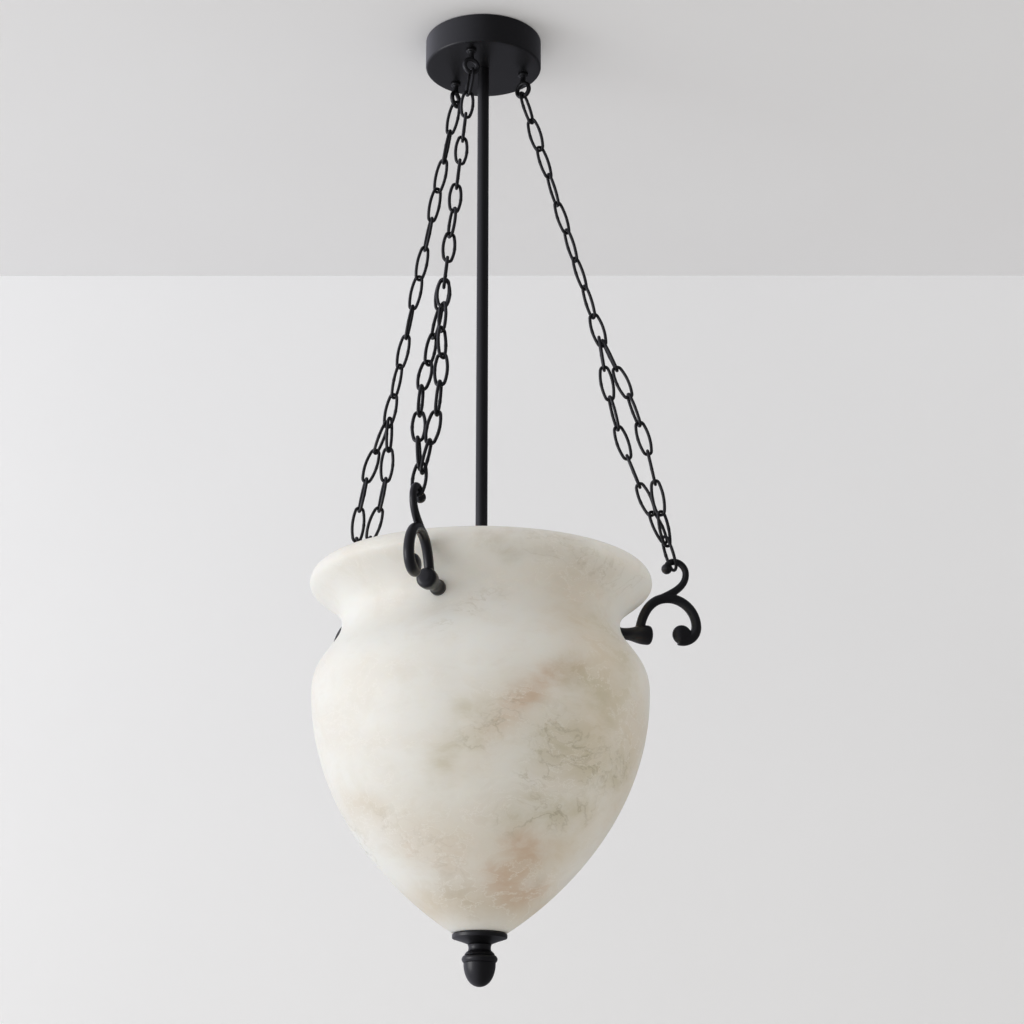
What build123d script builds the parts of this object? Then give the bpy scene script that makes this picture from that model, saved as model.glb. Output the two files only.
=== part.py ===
"""Urn-shaped alabaster pendant light: a ceiling canopy, a stem with a lamp cluster, and a stone bowl
on three chains with scroll hooks.

Millimetres, +Z up. The origin is the centre of the canopy's top, on the ceiling plane, so the light hangs
towards -Z. One hook points along +X and the other two stand 120 degrees round from it.
"""

import os
from math import cos, pi, radians, sin, sqrt

from build123d import *

os.makedirs("parts", exist_ok=True)

# Fits shared by several pieces
thread_gap = 0.05
slip_gap = 0.3
hole_gap = 0.2

# Ceiling plate and canopy
canopy_r = 64.8
canopy_h = 33.4
canopy_wall = 2.0
canopy_edge_r = 1.0
plate_t = 3.0
plate_rim_h = 12.0
plate_rim_t = 3.0
cable_entry_r = 10.0
slot_spacing = 80.0
slot_length = 15.0
slot_width = 5.2
grub_r = 2.0
grub_drop = 8.0
grub_azimuth = -10.0

# Wiring inside the canopy
block_length = 26.0
block_width = 22.0
block_h = 15.0
block_edge_r = 1.5
lead_r = 3.0
lead_bend_r = 14.0
lead_drop = 8.5
earth_screw_r = 2.0
earth_head_r = 3.8
earth_head_h = 2.4
earth_offset = 26.0

# Eye bolts
eye_circle_r = 46.0
eye_drop = 20.1
eye_ring_r = 8.0
eye_wire_r = 2.5
eye_bolt_r = 3.0
eye_collar_r = 5.6
eye_collar_h = 3.2
eye_collar_round = 1.4
eye_washer_r = 6.5
eye_washer_t = 1.2
eye_nut_af = 10.0
eye_nut_h = 5.0
bolt_end = 1.5

# Stem
stem_r = 6.35
stem_wall = 1.5
nipple_bore_r = 3.4
nipple_grip = 14.0
lock_washer_r = 9.0
lock_washer_t = 1.5
lock_nut_af = 14.0
lock_nut_h = 4.0

# Chain links: oval rings of round wire in a row, then two rows side by side, then one link on the hook
link_wire = 3.5
link_inner = 34.7
link_width = 16.5
link_end_r = 4.6
link_gap = 0.4
strand_side = 1.6
strand_room = 0.1
strand_stagger = 4.6
strand_bow = 11.0
# Turn of each link about the chain, in degrees from the plane through the stem: the row, then the last link
single_turns = {
    "right": [-40, 44, -24, 88, -22, 78, -32, 80, 12],
    "left": [-18, 50, -18, -86, 26, -86, -18, 50, -18, 72, -20],
    "front": [-43, 54, -20, 48, -20, 48, -46, 48, -20],
}
end_turns = {"right": 72, "left": -72, "front": -101}
# Turn of each link of the two rows from the line that joins the rows
strand_leans = {
    "right": [90, -15, 60, -38, 60, -15, 90],
    "left": [90, -8, 72, -8, 90],
    "front": [90, -12, 68, -33, 68, -12, 90],
}

# Scroll hooks: lengths outwards, heights from the foot's axis; the arm rises just inside the lip's edge
hook_above_neck = 3.0
pad_t = 1.0
pad_r = 8.1
spot_face_depth = 0.4
inner_spot_depth = 1.2
foot_past_arm = 9.1
foot_flange_t = 4.0
foot_waist_r = 6.2
foot_bell_r = 10.4
foot_bell_back = 5.0
arm_under_lip = 2.1
arm_r = 5.0
arm_root_in = 5.0
arm_lead_in = 2.5
arm_lead_up = 20.0
arch_lead = 23.0
arch_rise = 12.5
arch_r = 29.5
scroll_r = 5.6
scroll_curl_r = 16.0
scroll_curl_turn = 104.0
scroll_bun_r = 10.6
scroll_bun_half = 6.8
bun_roundness = 0.55
scroll_bun_out = 13.2
scroll_bun_down = 9.7
crook_r = 3.55
crook_root_angle = 120.0
crook_root_handle = 18.0
crook_out = 19.0
crook_top_up = 58.0
crook_top_handle = 16.0
crook_outer_r = 12.7
crook_inner_r = 8.5
crook_ball_r = 5.8
crook_contact_angle = 106.0
hook_screw_r = 3.0
hook_screw_grip = 12.0
hook_screw_head_r = 5.5
hook_screw_head_h = 4.0
hook_washer_t = 1.5

# Alabaster bowl: radii from the axis, heights from the neck
neck_r = 144.3
lip_r = 178.4
lip_up = 43.6
lip_round = 14.6
lip_inner_round = 10.0
belly_r = 173.9
belly_down = 70.0
base_r = 27.4
base_down = 315.4
bowl_wall = 11.0
bowl_floor = 16.0
floor_r = 32.0
lip_handle = 11.6
neck_up_handle = 22.5
neck_down_handle = 25.8
belly_up_handle = 33.8
belly_down_handle = 131.9
base_handle = 53.5
base_slope = 32.7

# Lamp cluster
lamp_down = 62.0
lamp_count = 3
lamp_azimuth = 60.0
hub_r = 20.0
hub_wall = 3.0
hub_top = 6.0
hub_half_h = 13.0
hub_cap_t = 4.0
arm_tube_r = 5.0
arm_bore_r = 3.0
arm_engage = 5.0
holder_gap = 6.0
holder_r = 19.5
holder_length = 38.0
holder_base = 8.0
wire_r = 1.3
wire_start = 6.0
shell_t = 0.7
shell_length = 25.0
shell_inset = 3.0
contact_r = 5.0
contact_t = 1.2
cap_r = 13.1
cap_length = 22.0
cap_taper = 2.5
cap_tip_r = 6.5
tip_r = 4.5
tip_t = 1.5
globe_r = 22.5
globe_neck_r = 12.3
globe_out = 24.0
globe_wall = 1.0

# Centre rod, bowl seat and finial
rod_r = 5.0
rod_above_nut = 1.5
rod_nut_af = 16.0
rod_nut_h = 5.0
seat_nut_h = 8.0
seat_washer_r = 23.0
seat_washer_t = 2.0
seat_pad_r = 25.0
seat_pad_t = 2.0
base_pad_r = 26.0
base_pad_t = 1.0
finial_plate_r = 27.7
finial_rim_h = 4.6
finial_plate_h = 10.0
finial_neck_r = 11.9
finial_waist_r = 11.2
finial_neck_h = 6.4
finial_ring_r = 15.2
finial_ring_h = 3.8
finial_bead_r = 17.9
finial_bead_h = 7.0
finial_bead_edge_r = 16.2
finial_groove = 0.5
acorn_r = 16.1
acorn_h = 23.3
rod_engage = 12.5
finial_bore_spare = 1.5

chain_azimuths = {"right": 0.0, "left": 120.0, "front": 240.0}


def radial(azimuth):
    """Horizontal unit vector at an azimuth in degrees."""
    return Vector(cos(radians(azimuth)), sin(radians(azimuth)), 0)


def radial_plane(azimuth):
    """Plane through the stem whose x is the distance from the axis and whose y is the height."""
    out = radial(azimuth)
    return Plane(origin=(0, 0, 0), x_dir=out, z_dir=out.cross(Vector(0, 0, 1)))


def radial_axis(azimuth, height):
    """Horizontal axis pointing outwards at a height."""
    return Axis(origin=(0, 0, height), direction=radial(azimuth))


def save(piece, label):
    """Label a finished piece and write it to its file."""
    piece.part.label = label
    export_step(piece.part, f"parts/{label}.step")


def washer(label, outer_r, inner_r, low, thickness, centres=((0, 0),)):
    """Flat rings standing on a height, one at each centre."""
    with BuildPart() as rings:
        with BuildSketch(Plane.XY.offset(low)):
            with Locations(*centres):
                Circle(outer_r)
                Circle(inner_r, mode=Mode.SUBTRACT)
        extrude(amount=thickness)
    save(rings, label)


def hex_nut(label, across_flats, inner_r, low, height, centres=((0, 0),)):
    """Hexagon nuts standing on a height, one at each centre."""
    with BuildPart() as nuts:
        with BuildSketch(Plane.XY.offset(low)):
            with Locations(*centres):
                RegularPolygon(across_flats / 2, 6, major_radius=False)
                Circle(inner_r, mode=Mode.SUBTRACT)
        extrude(amount=height)
    save(nuts, label)


# Chain link oval: side arcs tangent to the end arcs
link_half = (link_inner + link_wire) / 2
link_side = (link_width - link_wire) / 2
end_centre = link_half - link_end_r
side_r = (link_side**2 + end_centre**2 - link_end_r**2) / (2 * (link_side - link_end_r))
side_centre = side_r - link_side


def seat_depth(half_room):
    """Distance from the link's end to the level where its centreline is half_room off the middle."""
    return link_half - sqrt(side_r**2 - (half_room + side_centre) ** 2)


# Seats along the chain, measured between the middles of the two wires that meet there
link_pitch = link_inner - link_gap
eye_seat = eye_wire_r + link_wire / 2 + link_gap
crook_seat = seat_depth(crook_r + link_wire / 2 + link_gap)
strand_seat = seat_depth(strand_side + link_wire + strand_room)


def strand_top(single_count):
    """Distance from the lowest point of the eye's ring to where the two rows start, below the single links."""
    return -eye_seat + (single_count - 1) * link_pitch + 2 * link_half - strand_seat


# Distances along the chain; the right-hand one sets the length, and the others bow their rows to suit
lead_count = len(strand_leans["right"])
lead_step = sqrt(link_pitch**2 - (strand_bow * sin(pi / lead_count)) ** 2)
strand_low = strand_top(len(single_turns["right"])) + lead_count * lead_step
end_start = strand_low + link_wire + link_gap - strand_seat - strand_stagger
chain_reach = end_start + 2 * link_half - crook_seat

# Heights and radii that follow from the chain
arm_x = lip_r - arm_under_lip
arch_x = arm_x + arch_r
crook_x = arch_x + crook_out - crook_outer_r
crook_tip_up = arch_rise + crook_top_up + crook_outer_r - crook_inner_r
contact_x = crook_x + crook_inner_r * cos(radians(crook_contact_angle))
contact_up = crook_tip_up + crook_inner_r * sin(radians(crook_contact_angle))
eye_z = -canopy_h - eye_drop
eye_low = eye_z - eye_ring_r
contact_z = eye_low - sqrt(chain_reach**2 - (contact_x - eye_circle_r) ** 2)
hook_z = contact_z - contact_up
neck_z = hook_z - hook_above_neck
lip_z = neck_z + lip_up
belly_z = neck_z - belly_down
base_z = neck_z - base_down
floor_z = base_z + bowl_floor
lamp_z = neck_z - lamp_down

# Ceiling plate: a dished disc with two slots for the ceiling box and a cable entry
plate_r = canopy_r - canopy_wall - slip_gap
with BuildPart() as ceiling_plate:
    with BuildSketch():
        Circle(plate_r)
        Circle(cable_entry_r, mode=Mode.SUBTRACT)
        with Locations((slot_spacing / 2, 0), (-slot_spacing / 2, 0)):
            SlotOverall(slot_length, slot_width, mode=Mode.SUBTRACT)
        with Locations((0, earth_offset)):
            Circle(earth_screw_r + thread_gap, mode=Mode.SUBTRACT)
    extrude(amount=-plate_t)
    with BuildSketch():
        Circle(plate_r)
        Circle(plate_r - plate_rim_t, mode=Mode.SUBTRACT)
    extrude(amount=-plate_rim_h)
    for side in (grub_azimuth, grub_azimuth + 180):
        with BuildSketch(Plane(origin=(0, 0, -grub_drop), z_dir=radial(side))):
            Circle(grub_r + thread_gap)
        extrude(amount=plate_r, mode=Mode.SUBTRACT)
save(ceiling_plate, "ceiling_plate")

# Canopy: a spun steel cup, open against the ceiling
eye_centres = [radial(azimuth) * eye_circle_r for azimuth in chain_azimuths.values()]
canopy_floor = -canopy_h + canopy_wall
with BuildPart() as canopy:
    with BuildSketch(radial_plane(0)):
        with BuildLine():
            Polyline(
                (0, -canopy_h),
                (canopy_r, -canopy_h),
                (canopy_r, 0),
                (canopy_r - canopy_wall, 0),
                (canopy_r - canopy_wall, canopy_floor),
                (0, canopy_floor),
                close=True,
            )
        make_face()
    revolve(axis=Axis.Z)
    fillet(canopy.edges().group_by(Axis.Z)[0], canopy_edge_r)
    with BuildSketch(Plane.XY.offset(-canopy_h)):
        Circle(stem_r - stem_wall + hole_gap)
        with Locations(*eye_centres):
            Circle(eye_bolt_r + hole_gap)
    extrude(amount=canopy_wall, mode=Mode.SUBTRACT)
    for side in (grub_azimuth, grub_azimuth + 180):
        with BuildSketch(Plane(origin=(0, 0, -grub_drop), z_dir=radial(side))):
            Circle(grub_r + hole_gap)
        extrude(amount=canopy_r, mode=Mode.SUBTRACT)
save(canopy, "canopy")

# Grub screws that hold the canopy to the plate's rim
with BuildPart() as canopy_grub_screws:
    for side in (grub_azimuth, grub_azimuth + 180):
        start = radial(side) * (plate_r - plate_rim_t)
        with BuildSketch(Plane(origin=(start.X, start.Y, -grub_drop), z_dir=radial(side))):
            Circle(grub_r)
        extrude(amount=canopy_r - canopy_wall / 4 - plate_r + plate_rim_t)
save(canopy_grub_screws, "canopy_grub_screws")

# Earth screw in the plate
with BuildPart() as earth_screw:
    with BuildSketch(Plane.XY.offset(-plate_t)):
        with Locations((0, earth_offset)):
            Circle(earth_screw_r)
    extrude(amount=plate_t - slip_gap)
    with BuildSketch(Plane.XY.offset(-plate_t)):
        with Locations((0, earth_offset)):
            Circle(earth_head_r)
    extrude(amount=-earth_head_h)
    fillet(earth_screw.edges().group_by(Axis.Z)[0], earth_head_h / 3)
save(earth_screw, "earth_screw")

# Terminal block under the plate, where the supply meets the lamp lead
block_face_x = -lead_bend_r - block_edge_r
with BuildPart() as terminal_block:
    with BuildSketch(Plane.XY.offset(-plate_t)):
        with Locations((block_face_x - block_length / 2, 0)):
            RectangleRounded(block_length, block_width, block_edge_r)
    extrude(amount=-block_h)
save(terminal_block, "terminal_block")

# Lamp lead: from the terminal block over one bend and down inside the stem to the hub
hub_ceiling = lamp_z + hub_half_h - hub_top
with BuildPart() as lamp_lead:
    with BuildLine(Plane.XZ) as lead_path:
        FilletPolyline(
            (block_face_x, -lead_drop),
            (0, -lead_drop),
            (0, hub_ceiling - slip_gap),
            radius=lead_bend_r,
        )
    with BuildSketch(Plane(origin=lead_path.line @ 0, z_dir=lead_path.line % 0)):
        Circle(lead_r)
    sweep(path=lead_path.line)
save(lamp_lead, "lamp_lead")

# Eye bolts through the canopy, with their washers and nuts inside
eye_washer_top = canopy_floor + eye_washer_t
eye_bolt_top = eye_washer_top + eye_nut_h + bolt_end
with BuildPart() as eye_bolts:
    for name, azimuth in chain_azimuths.items():
        centre = radial(azimuth) * eye_circle_r
        with BuildSketch(Plane(origin=(centre.X, centre.Y, eye_bolt_top), z_dir=(0, 0, -1))):
            Circle(eye_bolt_r)
        extrude(amount=eye_bolt_top - eye_z - eye_ring_r)
        with BuildSketch(Plane(origin=(centre.X, centre.Y, -canopy_h), z_dir=(0, 0, -1))):
            Circle(eye_collar_r)
        collar = extrude(amount=eye_collar_h)
        fillet(collar.edges().group_by(Axis.Z)[0], eye_collar_round)
        ring_axis = radial(azimuth - single_turns[name][0])
        with Locations(Plane(origin=(centre.X, centre.Y, eye_z), z_dir=ring_axis).location):
            Torus(eye_ring_r, eye_wire_r)
save(eye_bolts, "eye_bolts")
washer("eye_bolt_washers", eye_washer_r, eye_bolt_r + hole_gap, canopy_floor, eye_washer_t, eye_centres)
hex_nut("eye_bolt_nuts", eye_nut_af, eye_bolt_r + thread_gap, eye_washer_top, eye_nut_h, eye_centres)

# Stem with the threaded nipple that ties it to the canopy
stem_bore_r = stem_r - stem_wall
nipple_r = stem_bore_r - thread_gap
lock_top = canopy_floor + lock_washer_t + lock_nut_h
with BuildPart() as stem:
    with BuildSketch(Plane.XY.offset(-canopy_h)):
        Circle(stem_r)
        Circle(stem_bore_r, mode=Mode.SUBTRACT)
    extrude(amount=hub_ceiling + canopy_h)
save(stem, "stem")
with BuildPart() as stem_nipple:
    with BuildSketch(Plane.XY.offset(-canopy_h - nipple_grip)):
        Circle(nipple_r)
        Circle(nipple_bore_r, mode=Mode.SUBTRACT)
    extrude(amount=lock_top + bolt_end + canopy_h + nipple_grip)
save(stem_nipple, "stem_nipple")
washer("stem_lock_washer", lock_washer_r, nipple_r + hole_gap, canopy_floor, lock_washer_t)
hex_nut("stem_lock_nut", lock_nut_af, nipple_r + thread_gap, canopy_floor + lock_washer_t, lock_nut_h)

# One chain link lying flat, long way along y
end_x = link_end_r * side_centre / (side_r - link_end_r)
end_y = end_centre + link_end_r * end_centre / (side_r - link_end_r)
with BuildPart() as link:
    with BuildLine() as oval:
        ThreePointArc((end_x, -end_y), (link_side, 0), (end_x, end_y))
        ThreePointArc((end_x, end_y), (0, link_half), (-end_x, end_y))
        ThreePointArc((-end_x, end_y), (-link_side, 0), (-end_x, -end_y))
        ThreePointArc((-end_x, -end_y), (0, -link_half), (end_x, -end_y))
    oval_wire = oval.wire()
    with BuildSketch(Plane(origin=oval_wire @ 0, z_dir=oval_wire % 0)):
        Circle(link_wire / 2)
    sweep(path=oval_wire)


class Chain:
    """Frame of one chain: the line from the eye's ring to the hook, and the places of its links."""

    def __init__(self, name):
        out = radial(chain_azimuths[name])
        self.turns = single_turns[name]
        self.end_turn = end_turns[name]
        self.leans = strand_leans[name]
        self.count = len(self.leans)
        self.strand_start = strand_top(len(self.turns))
        self.step = (strand_low - self.strand_start) / self.count
        self.bow = sqrt(link_pitch**2 - self.step**2) / sin(pi / self.count)
        self.start = out * eye_circle_r + Vector(0, 0, eye_low)
        self.along = (out * contact_x + Vector(0, 0, contact_z) - self.start).normalized()
        self.across = Vector(0, 0, 1).cross(out)
        self.normal = self.across.cross(self.along)

    def side(self, turn):
        """Unit vector square to the chain at a turn from the plane through the stem."""
        return self.normal * cos(radians(turn)) + self.across * sin(radians(turn))

    def point(self, distance):
        """Point on the chain's line."""
        return self.start + self.along * distance

    def link_between(self, top, bottom, turn):
        """Place of a link whose long way runs from top to bottom."""
        way = (bottom - top).normalized()
        flat = self.side(turn)
        flat = (flat - way * flat.dot(way)).normalized()
        return Plane(origin=(top + bottom) * 0.5, x_dir=flat, z_dir=flat.cross(way)).location

    def singles(self):
        """Links in a row below the eye."""
        places = []
        for i, turn in enumerate(self.turns):
            top = link_pitch * i - eye_seat
            places.append(self.link_between(self.point(top), self.point(top + 2 * link_half), turn))
        return places

    def spread(self, part_way):
        """Turn of the line that joins the two rows, from the last single link to the end link."""
        return self.turns[-1] + (self.end_turn - self.turns[-1]) * part_way

    def strand(self, hand):
        """One of the two side-by-side rows, bowed away from the other; the second sits higher."""
        lift = strand_stagger if hand > 0 else 0
        joints = []
        for i in range(self.count + 1):
            part_way = i / self.count
            offset = hand * (strand_side + self.bow * sin(pi * part_way))
            middle = self.strand_start - lift + (link_wire + link_gap) / 2 + self.step * i
            joints.append(self.point(middle) + self.side(self.spread(part_way)) * offset)
        places = []
        for i, lean in enumerate(self.leans):
            turn = self.spread((i + 0.5) / self.count) + lean
            places.append(self.link_between(joints[i], joints[i + 1], turn))
        return places

    def end(self):
        """Link that hangs on the hook."""
        bottom = self.point(end_start + 2 * link_half)
        return [self.link_between(self.point(end_start), bottom, self.end_turn)]


for name in chain_azimuths:
    chain = Chain(name)
    groups = {
        "upper_links": chain.singles(),
        "inner_strand": chain.strand(-1),
        "outer_strand": chain.strand(1),
        "hook_link": chain.end(),
    }
    for group, places in groups.items():
        with BuildPart() as links:
            with Locations(*places):
                add(link.part)
        save(links, f"chain_{name}_{group}")

# Scroll hooks: trumpet foot, arched arm ending in a scroll, and a crook for the chain
seat_x = neck_r - spot_face_depth
foot_x = seat_x + pad_t
foot_end_x = arm_x + foot_past_arm
bell_x = foot_end_x - foot_bell_back
waist_x = foot_x + foot_flange_t * 2
arch_z = hook_z + arch_rise
scroll_x = arch_x + arch_r
root_angle = radians(crook_root_angle)
crook_root_x = arch_x + arch_r * cos(root_angle)
crook_root_z = arch_z + arch_r * sin(root_angle)
crook_lead_x = crook_root_x + crook_root_handle * sin(root_angle)
crook_lead_z = crook_root_z - crook_root_handle * cos(root_angle)
for name, azimuth in chain_azimuths.items():
    plane = radial_plane(azimuth)
    with BuildPart() as hook:
        with BuildSketch(plane):
            with BuildLine():
                Polyline((foot_x, hook_z), (foot_x, hook_z + pad_r), (foot_x + foot_flange_t, hook_z + pad_r))
                Bezier(
                    (foot_x + foot_flange_t, hook_z + pad_r),
                    (foot_x + foot_flange_t, hook_z + foot_waist_r),
                    (waist_x, hook_z + foot_waist_r),
                )
                Bezier(
                    (waist_x, hook_z + foot_waist_r),
                    ((waist_x + bell_x) / 2, hook_z + foot_waist_r),
                    ((waist_x + bell_x) / 2, hook_z + foot_bell_r),
                    (bell_x, hook_z + foot_bell_r),
                )
                Bezier(
                    (bell_x, hook_z + foot_bell_r),
                    (foot_end_x, hook_z + foot_bell_r),
                    (foot_end_x, hook_z + foot_bell_r / 2),
                    (foot_end_x, hook_z),
                )
                Line((foot_end_x, hook_z), (foot_x, hook_z))
            make_face()
        revolve(axis=radial_axis(azimuth, hook_z))
        with BuildLine(plane) as arm:
            Bezier(
                (arm_x - arm_root_in, hook_z),
                (arm_x - arm_lead_in, hook_z + arm_lead_up),
                (arch_x - arch_lead, arch_z + arch_r),
                (arch_x, arch_z + arch_r),
            )
            CenterArc((arch_x, arch_z), arch_r, 90, -90)
        with BuildLine(plane) as curl:
            CenterArc((scroll_x - scroll_curl_r, arch_z), scroll_curl_r, 0, -scroll_curl_turn)
        with BuildLine(plane) as crook:
            Bezier(
                (crook_root_x, crook_root_z),
                (crook_lead_x, crook_lead_z),
                (arch_x + crook_out, arch_z + crook_top_up - crook_top_handle),
                (arch_x + crook_out, arch_z + crook_top_up),
            )
            CenterArc((crook_x, arch_z + crook_top_up), crook_outer_r, 0, 90)
            CenterArc((crook_x, hook_z + crook_tip_up), crook_inner_r, 90, 90)
        for path, radius in ((arm, arm_r), (curl, scroll_r), (crook, crook_r)):
            wire = path.wire()
            with BuildSketch(Plane(origin=wire @ 0, z_dir=wire % 0)):
                Circle(radius)
            sweep(path=wire)
        bun = plane.from_local_coords(Vector(arch_x + scroll_bun_out, arch_z - scroll_bun_down))
        tip = plane.from_local_coords(Vector(crook_x - crook_inner_r, hook_z + crook_tip_up))
        with BuildSketch(Plane(origin=bun, x_dir=plane.x_dir, z_dir=plane.y_dir)):
            with BuildLine():
                Bezier(
                    (0, scroll_bun_half),
                    (scroll_bun_r * bun_roundness, scroll_bun_half),
                    (scroll_bun_r, scroll_bun_half * bun_roundness),
                    (scroll_bun_r, 0),
                )
                Bezier(
                    (scroll_bun_r, 0),
                    (scroll_bun_r, -scroll_bun_half * bun_roundness),
                    (scroll_bun_r * bun_roundness, -scroll_bun_half),
                    (0, -scroll_bun_half),
                )
                Line((0, -scroll_bun_half), (0, scroll_bun_half))
            make_face()
        revolve(axis=Axis(bun, plane.z_dir))
        with Locations(tip):
            Sphere(crook_ball_r)
        foot_face = radial(azimuth) * foot_x + Vector(0, 0, hook_z)
        with BuildSketch(Plane(origin=foot_face, z_dir=radial(azimuth))):
            Circle(hook_screw_r + thread_gap)
        extrude(amount=hook_screw_grip + slip_gap, mode=Mode.SUBTRACT)
    save(hook, f"scroll_hook_{name}")

# Hook fastening: a screw from inside the bowl, a washer under its head and a pad on each face of the stone
inner_seat_x = neck_r - bowl_wall + inner_spot_depth
inner_washer_x = inner_seat_x - pad_t - hook_washer_t
with BuildPart() as hook_pads:
    for azimuth in chain_azimuths.values():
        for start in (seat_x, inner_seat_x - pad_t):
            with BuildSketch(Plane(origin=radial(azimuth) * start + Vector(0, 0, hook_z), z_dir=radial(azimuth))):
                Circle(pad_r)
                Circle(hook_screw_r + hole_gap, mode=Mode.SUBTRACT)
            extrude(amount=pad_t)
save(hook_pads, "hook_pads")
with BuildPart() as hook_washers:
    for azimuth in chain_azimuths.values():
        face = radial(azimuth) * inner_washer_x + Vector(0, 0, hook_z)
        with BuildSketch(Plane(origin=face, z_dir=radial(azimuth))):
            Circle(pad_r)
            Circle(hook_screw_r + hole_gap, mode=Mode.SUBTRACT)
        extrude(amount=hook_washer_t)
save(hook_washers, "hook_washers")
with BuildPart() as hook_screws:
    for azimuth in chain_azimuths.values():
        face = Plane(origin=radial(azimuth) * inner_washer_x + Vector(0, 0, hook_z), z_dir=radial(azimuth))
        with BuildSketch(face):
            Circle(hook_screw_r)
        extrude(amount=foot_x + hook_screw_grip - inner_washer_x)
        with BuildSketch(face):
            Circle(hook_screw_head_r)
        extrude(amount=-hook_screw_head_h)
save(hook_screws, "hook_screws")

# Alabaster bowl: an urn with a rolled lip, a drawn-in neck and a full belly, turned from one block
slope = radians(base_slope)


def bowl_side(inset, bottom, bottom_handle):
    """Side of the bowl from its bottom point up to the neck, moved in by the wall's thickness."""
    Bezier(
        bottom,
        (bottom[0] + bottom_handle * cos(slope), bottom[1] + bottom_handle * sin(slope)),
        (belly_r - inset, belly_z - belly_down_handle),
        (belly_r - inset, belly_z),
    )
    Bezier(
        (belly_r - inset, belly_z),
        (belly_r - inset, belly_z + belly_up_handle),
        (neck_r - inset, neck_z - neck_down_handle),
        (neck_r - inset, neck_z),
    )


lip_top_r = lip_r - lip_round
lip_inner_r = lip_top_r - lip_inner_round
lip_top_z = lip_z + lip_round
lip_inner_z = lip_top_z - lip_inner_round
with BuildPart() as bowl:
    with BuildSketch(radial_plane(0)):
        with BuildLine():
            Line((rod_r + hole_gap, base_z), (base_r, base_z))
            bowl_side(0, (base_r, base_z), base_handle)
            Bezier(
                (neck_r, neck_z),
                (neck_r, neck_z + neck_up_handle),
                (lip_r, lip_z - lip_handle),
                (lip_r, lip_z),
            )
            CenterArc((lip_top_r, lip_z), lip_round, 0, 90)
            CenterArc((lip_top_r, lip_inner_z), lip_inner_round, 90, 90)
            Bezier(
                (lip_inner_r, lip_inner_z),
                (lip_inner_r, lip_inner_z - lip_handle),
                (neck_r - bowl_wall, neck_z + neck_up_handle),
                (neck_r - bowl_wall, neck_z),
            )
            bowl_side(bowl_wall, (floor_r, floor_z), base_handle - bowl_wall / 2)
            Polyline((floor_r, floor_z), (rod_r + hole_gap, floor_z), (rod_r + hole_gap, base_z))
        make_face()
    revolve(axis=Axis.Z)
    for azimuth in chain_azimuths.values():
        outwards = radial(azimuth)
        outer_seat = Plane(origin=outwards * seat_x + Vector(0, 0, hook_z), z_dir=outwards)
        inner_seat = Plane(origin=outwards * inner_seat_x + Vector(0, 0, hook_z), z_dir=outwards)
        with BuildSketch(outer_seat):
            Circle(pad_r + slip_gap)
        extrude(amount=bowl_wall, mode=Mode.SUBTRACT)
        with BuildSketch(inner_seat):
            Circle(pad_r + slip_gap)
        extrude(amount=-bowl_wall, mode=Mode.SUBTRACT)
        with BuildSketch(outer_seat):
            Circle(hook_screw_r + hole_gap)
        extrude(amount=-bowl_wall, mode=Mode.SUBTRACT)
save(bowl, "bowl")

# Lamp hub: a cup on the foot of the stem, closed below by a cap that carries the rod
hub_top_z = lamp_z + hub_half_h
hub_low_z = lamp_z - hub_half_h
cavity_r = hub_r - hub_wall
lamp_azimuths = [lamp_azimuth + 360 / lamp_count * i for i in range(lamp_count)]
with BuildPart() as lamp_hub:
    with BuildSketch(Plane.XY.offset(hub_low_z)):
        Circle(hub_r)
    extrude(amount=2 * hub_half_h)
    fillet(lamp_hub.edges().group_by(Axis.Z)[-1], hub_wall / 2)
    with BuildSketch(Plane.XY.offset(hub_low_z)):
        Circle(cavity_r)
    extrude(amount=hub_ceiling - hub_low_z, mode=Mode.SUBTRACT)
    with BuildSketch(Plane.XY.offset(hub_ceiling)):
        Circle(stem_r + thread_gap)
    extrude(amount=hub_top, mode=Mode.SUBTRACT)
    for azimuth in lamp_azimuths:
        with BuildSketch(Plane(origin=(0, 0, lamp_z), z_dir=radial(azimuth))):
            Circle(arm_tube_r + thread_gap)
        extrude(amount=hub_r, mode=Mode.SUBTRACT)
save(lamp_hub, "lamp_hub")
hub_cap_top = hub_low_z + hub_cap_t
washer("hub_cap", cavity_r - thread_gap, rod_r + thread_gap, hub_low_z, hub_cap_t)
hex_nut("hub_nut", rod_nut_af, rod_r + thread_gap, hub_cap_top, rod_nut_h)


def along_lamps(label, start, length, outer_r, inner_r=0.0):
    """Round bars or tubes lying outwards along each lamp's axis."""
    with BuildPart() as bars:
        for azimuth in lamp_azimuths:
            origin = radial(azimuth) * start + Vector(0, 0, lamp_z)
            with BuildSketch(Plane(origin=origin, z_dir=radial(azimuth))):
                Circle(outer_r)
                if inner_r:
                    Circle(inner_r, mode=Mode.SUBTRACT)
            extrude(amount=length)
    save(bars, label)


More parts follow.
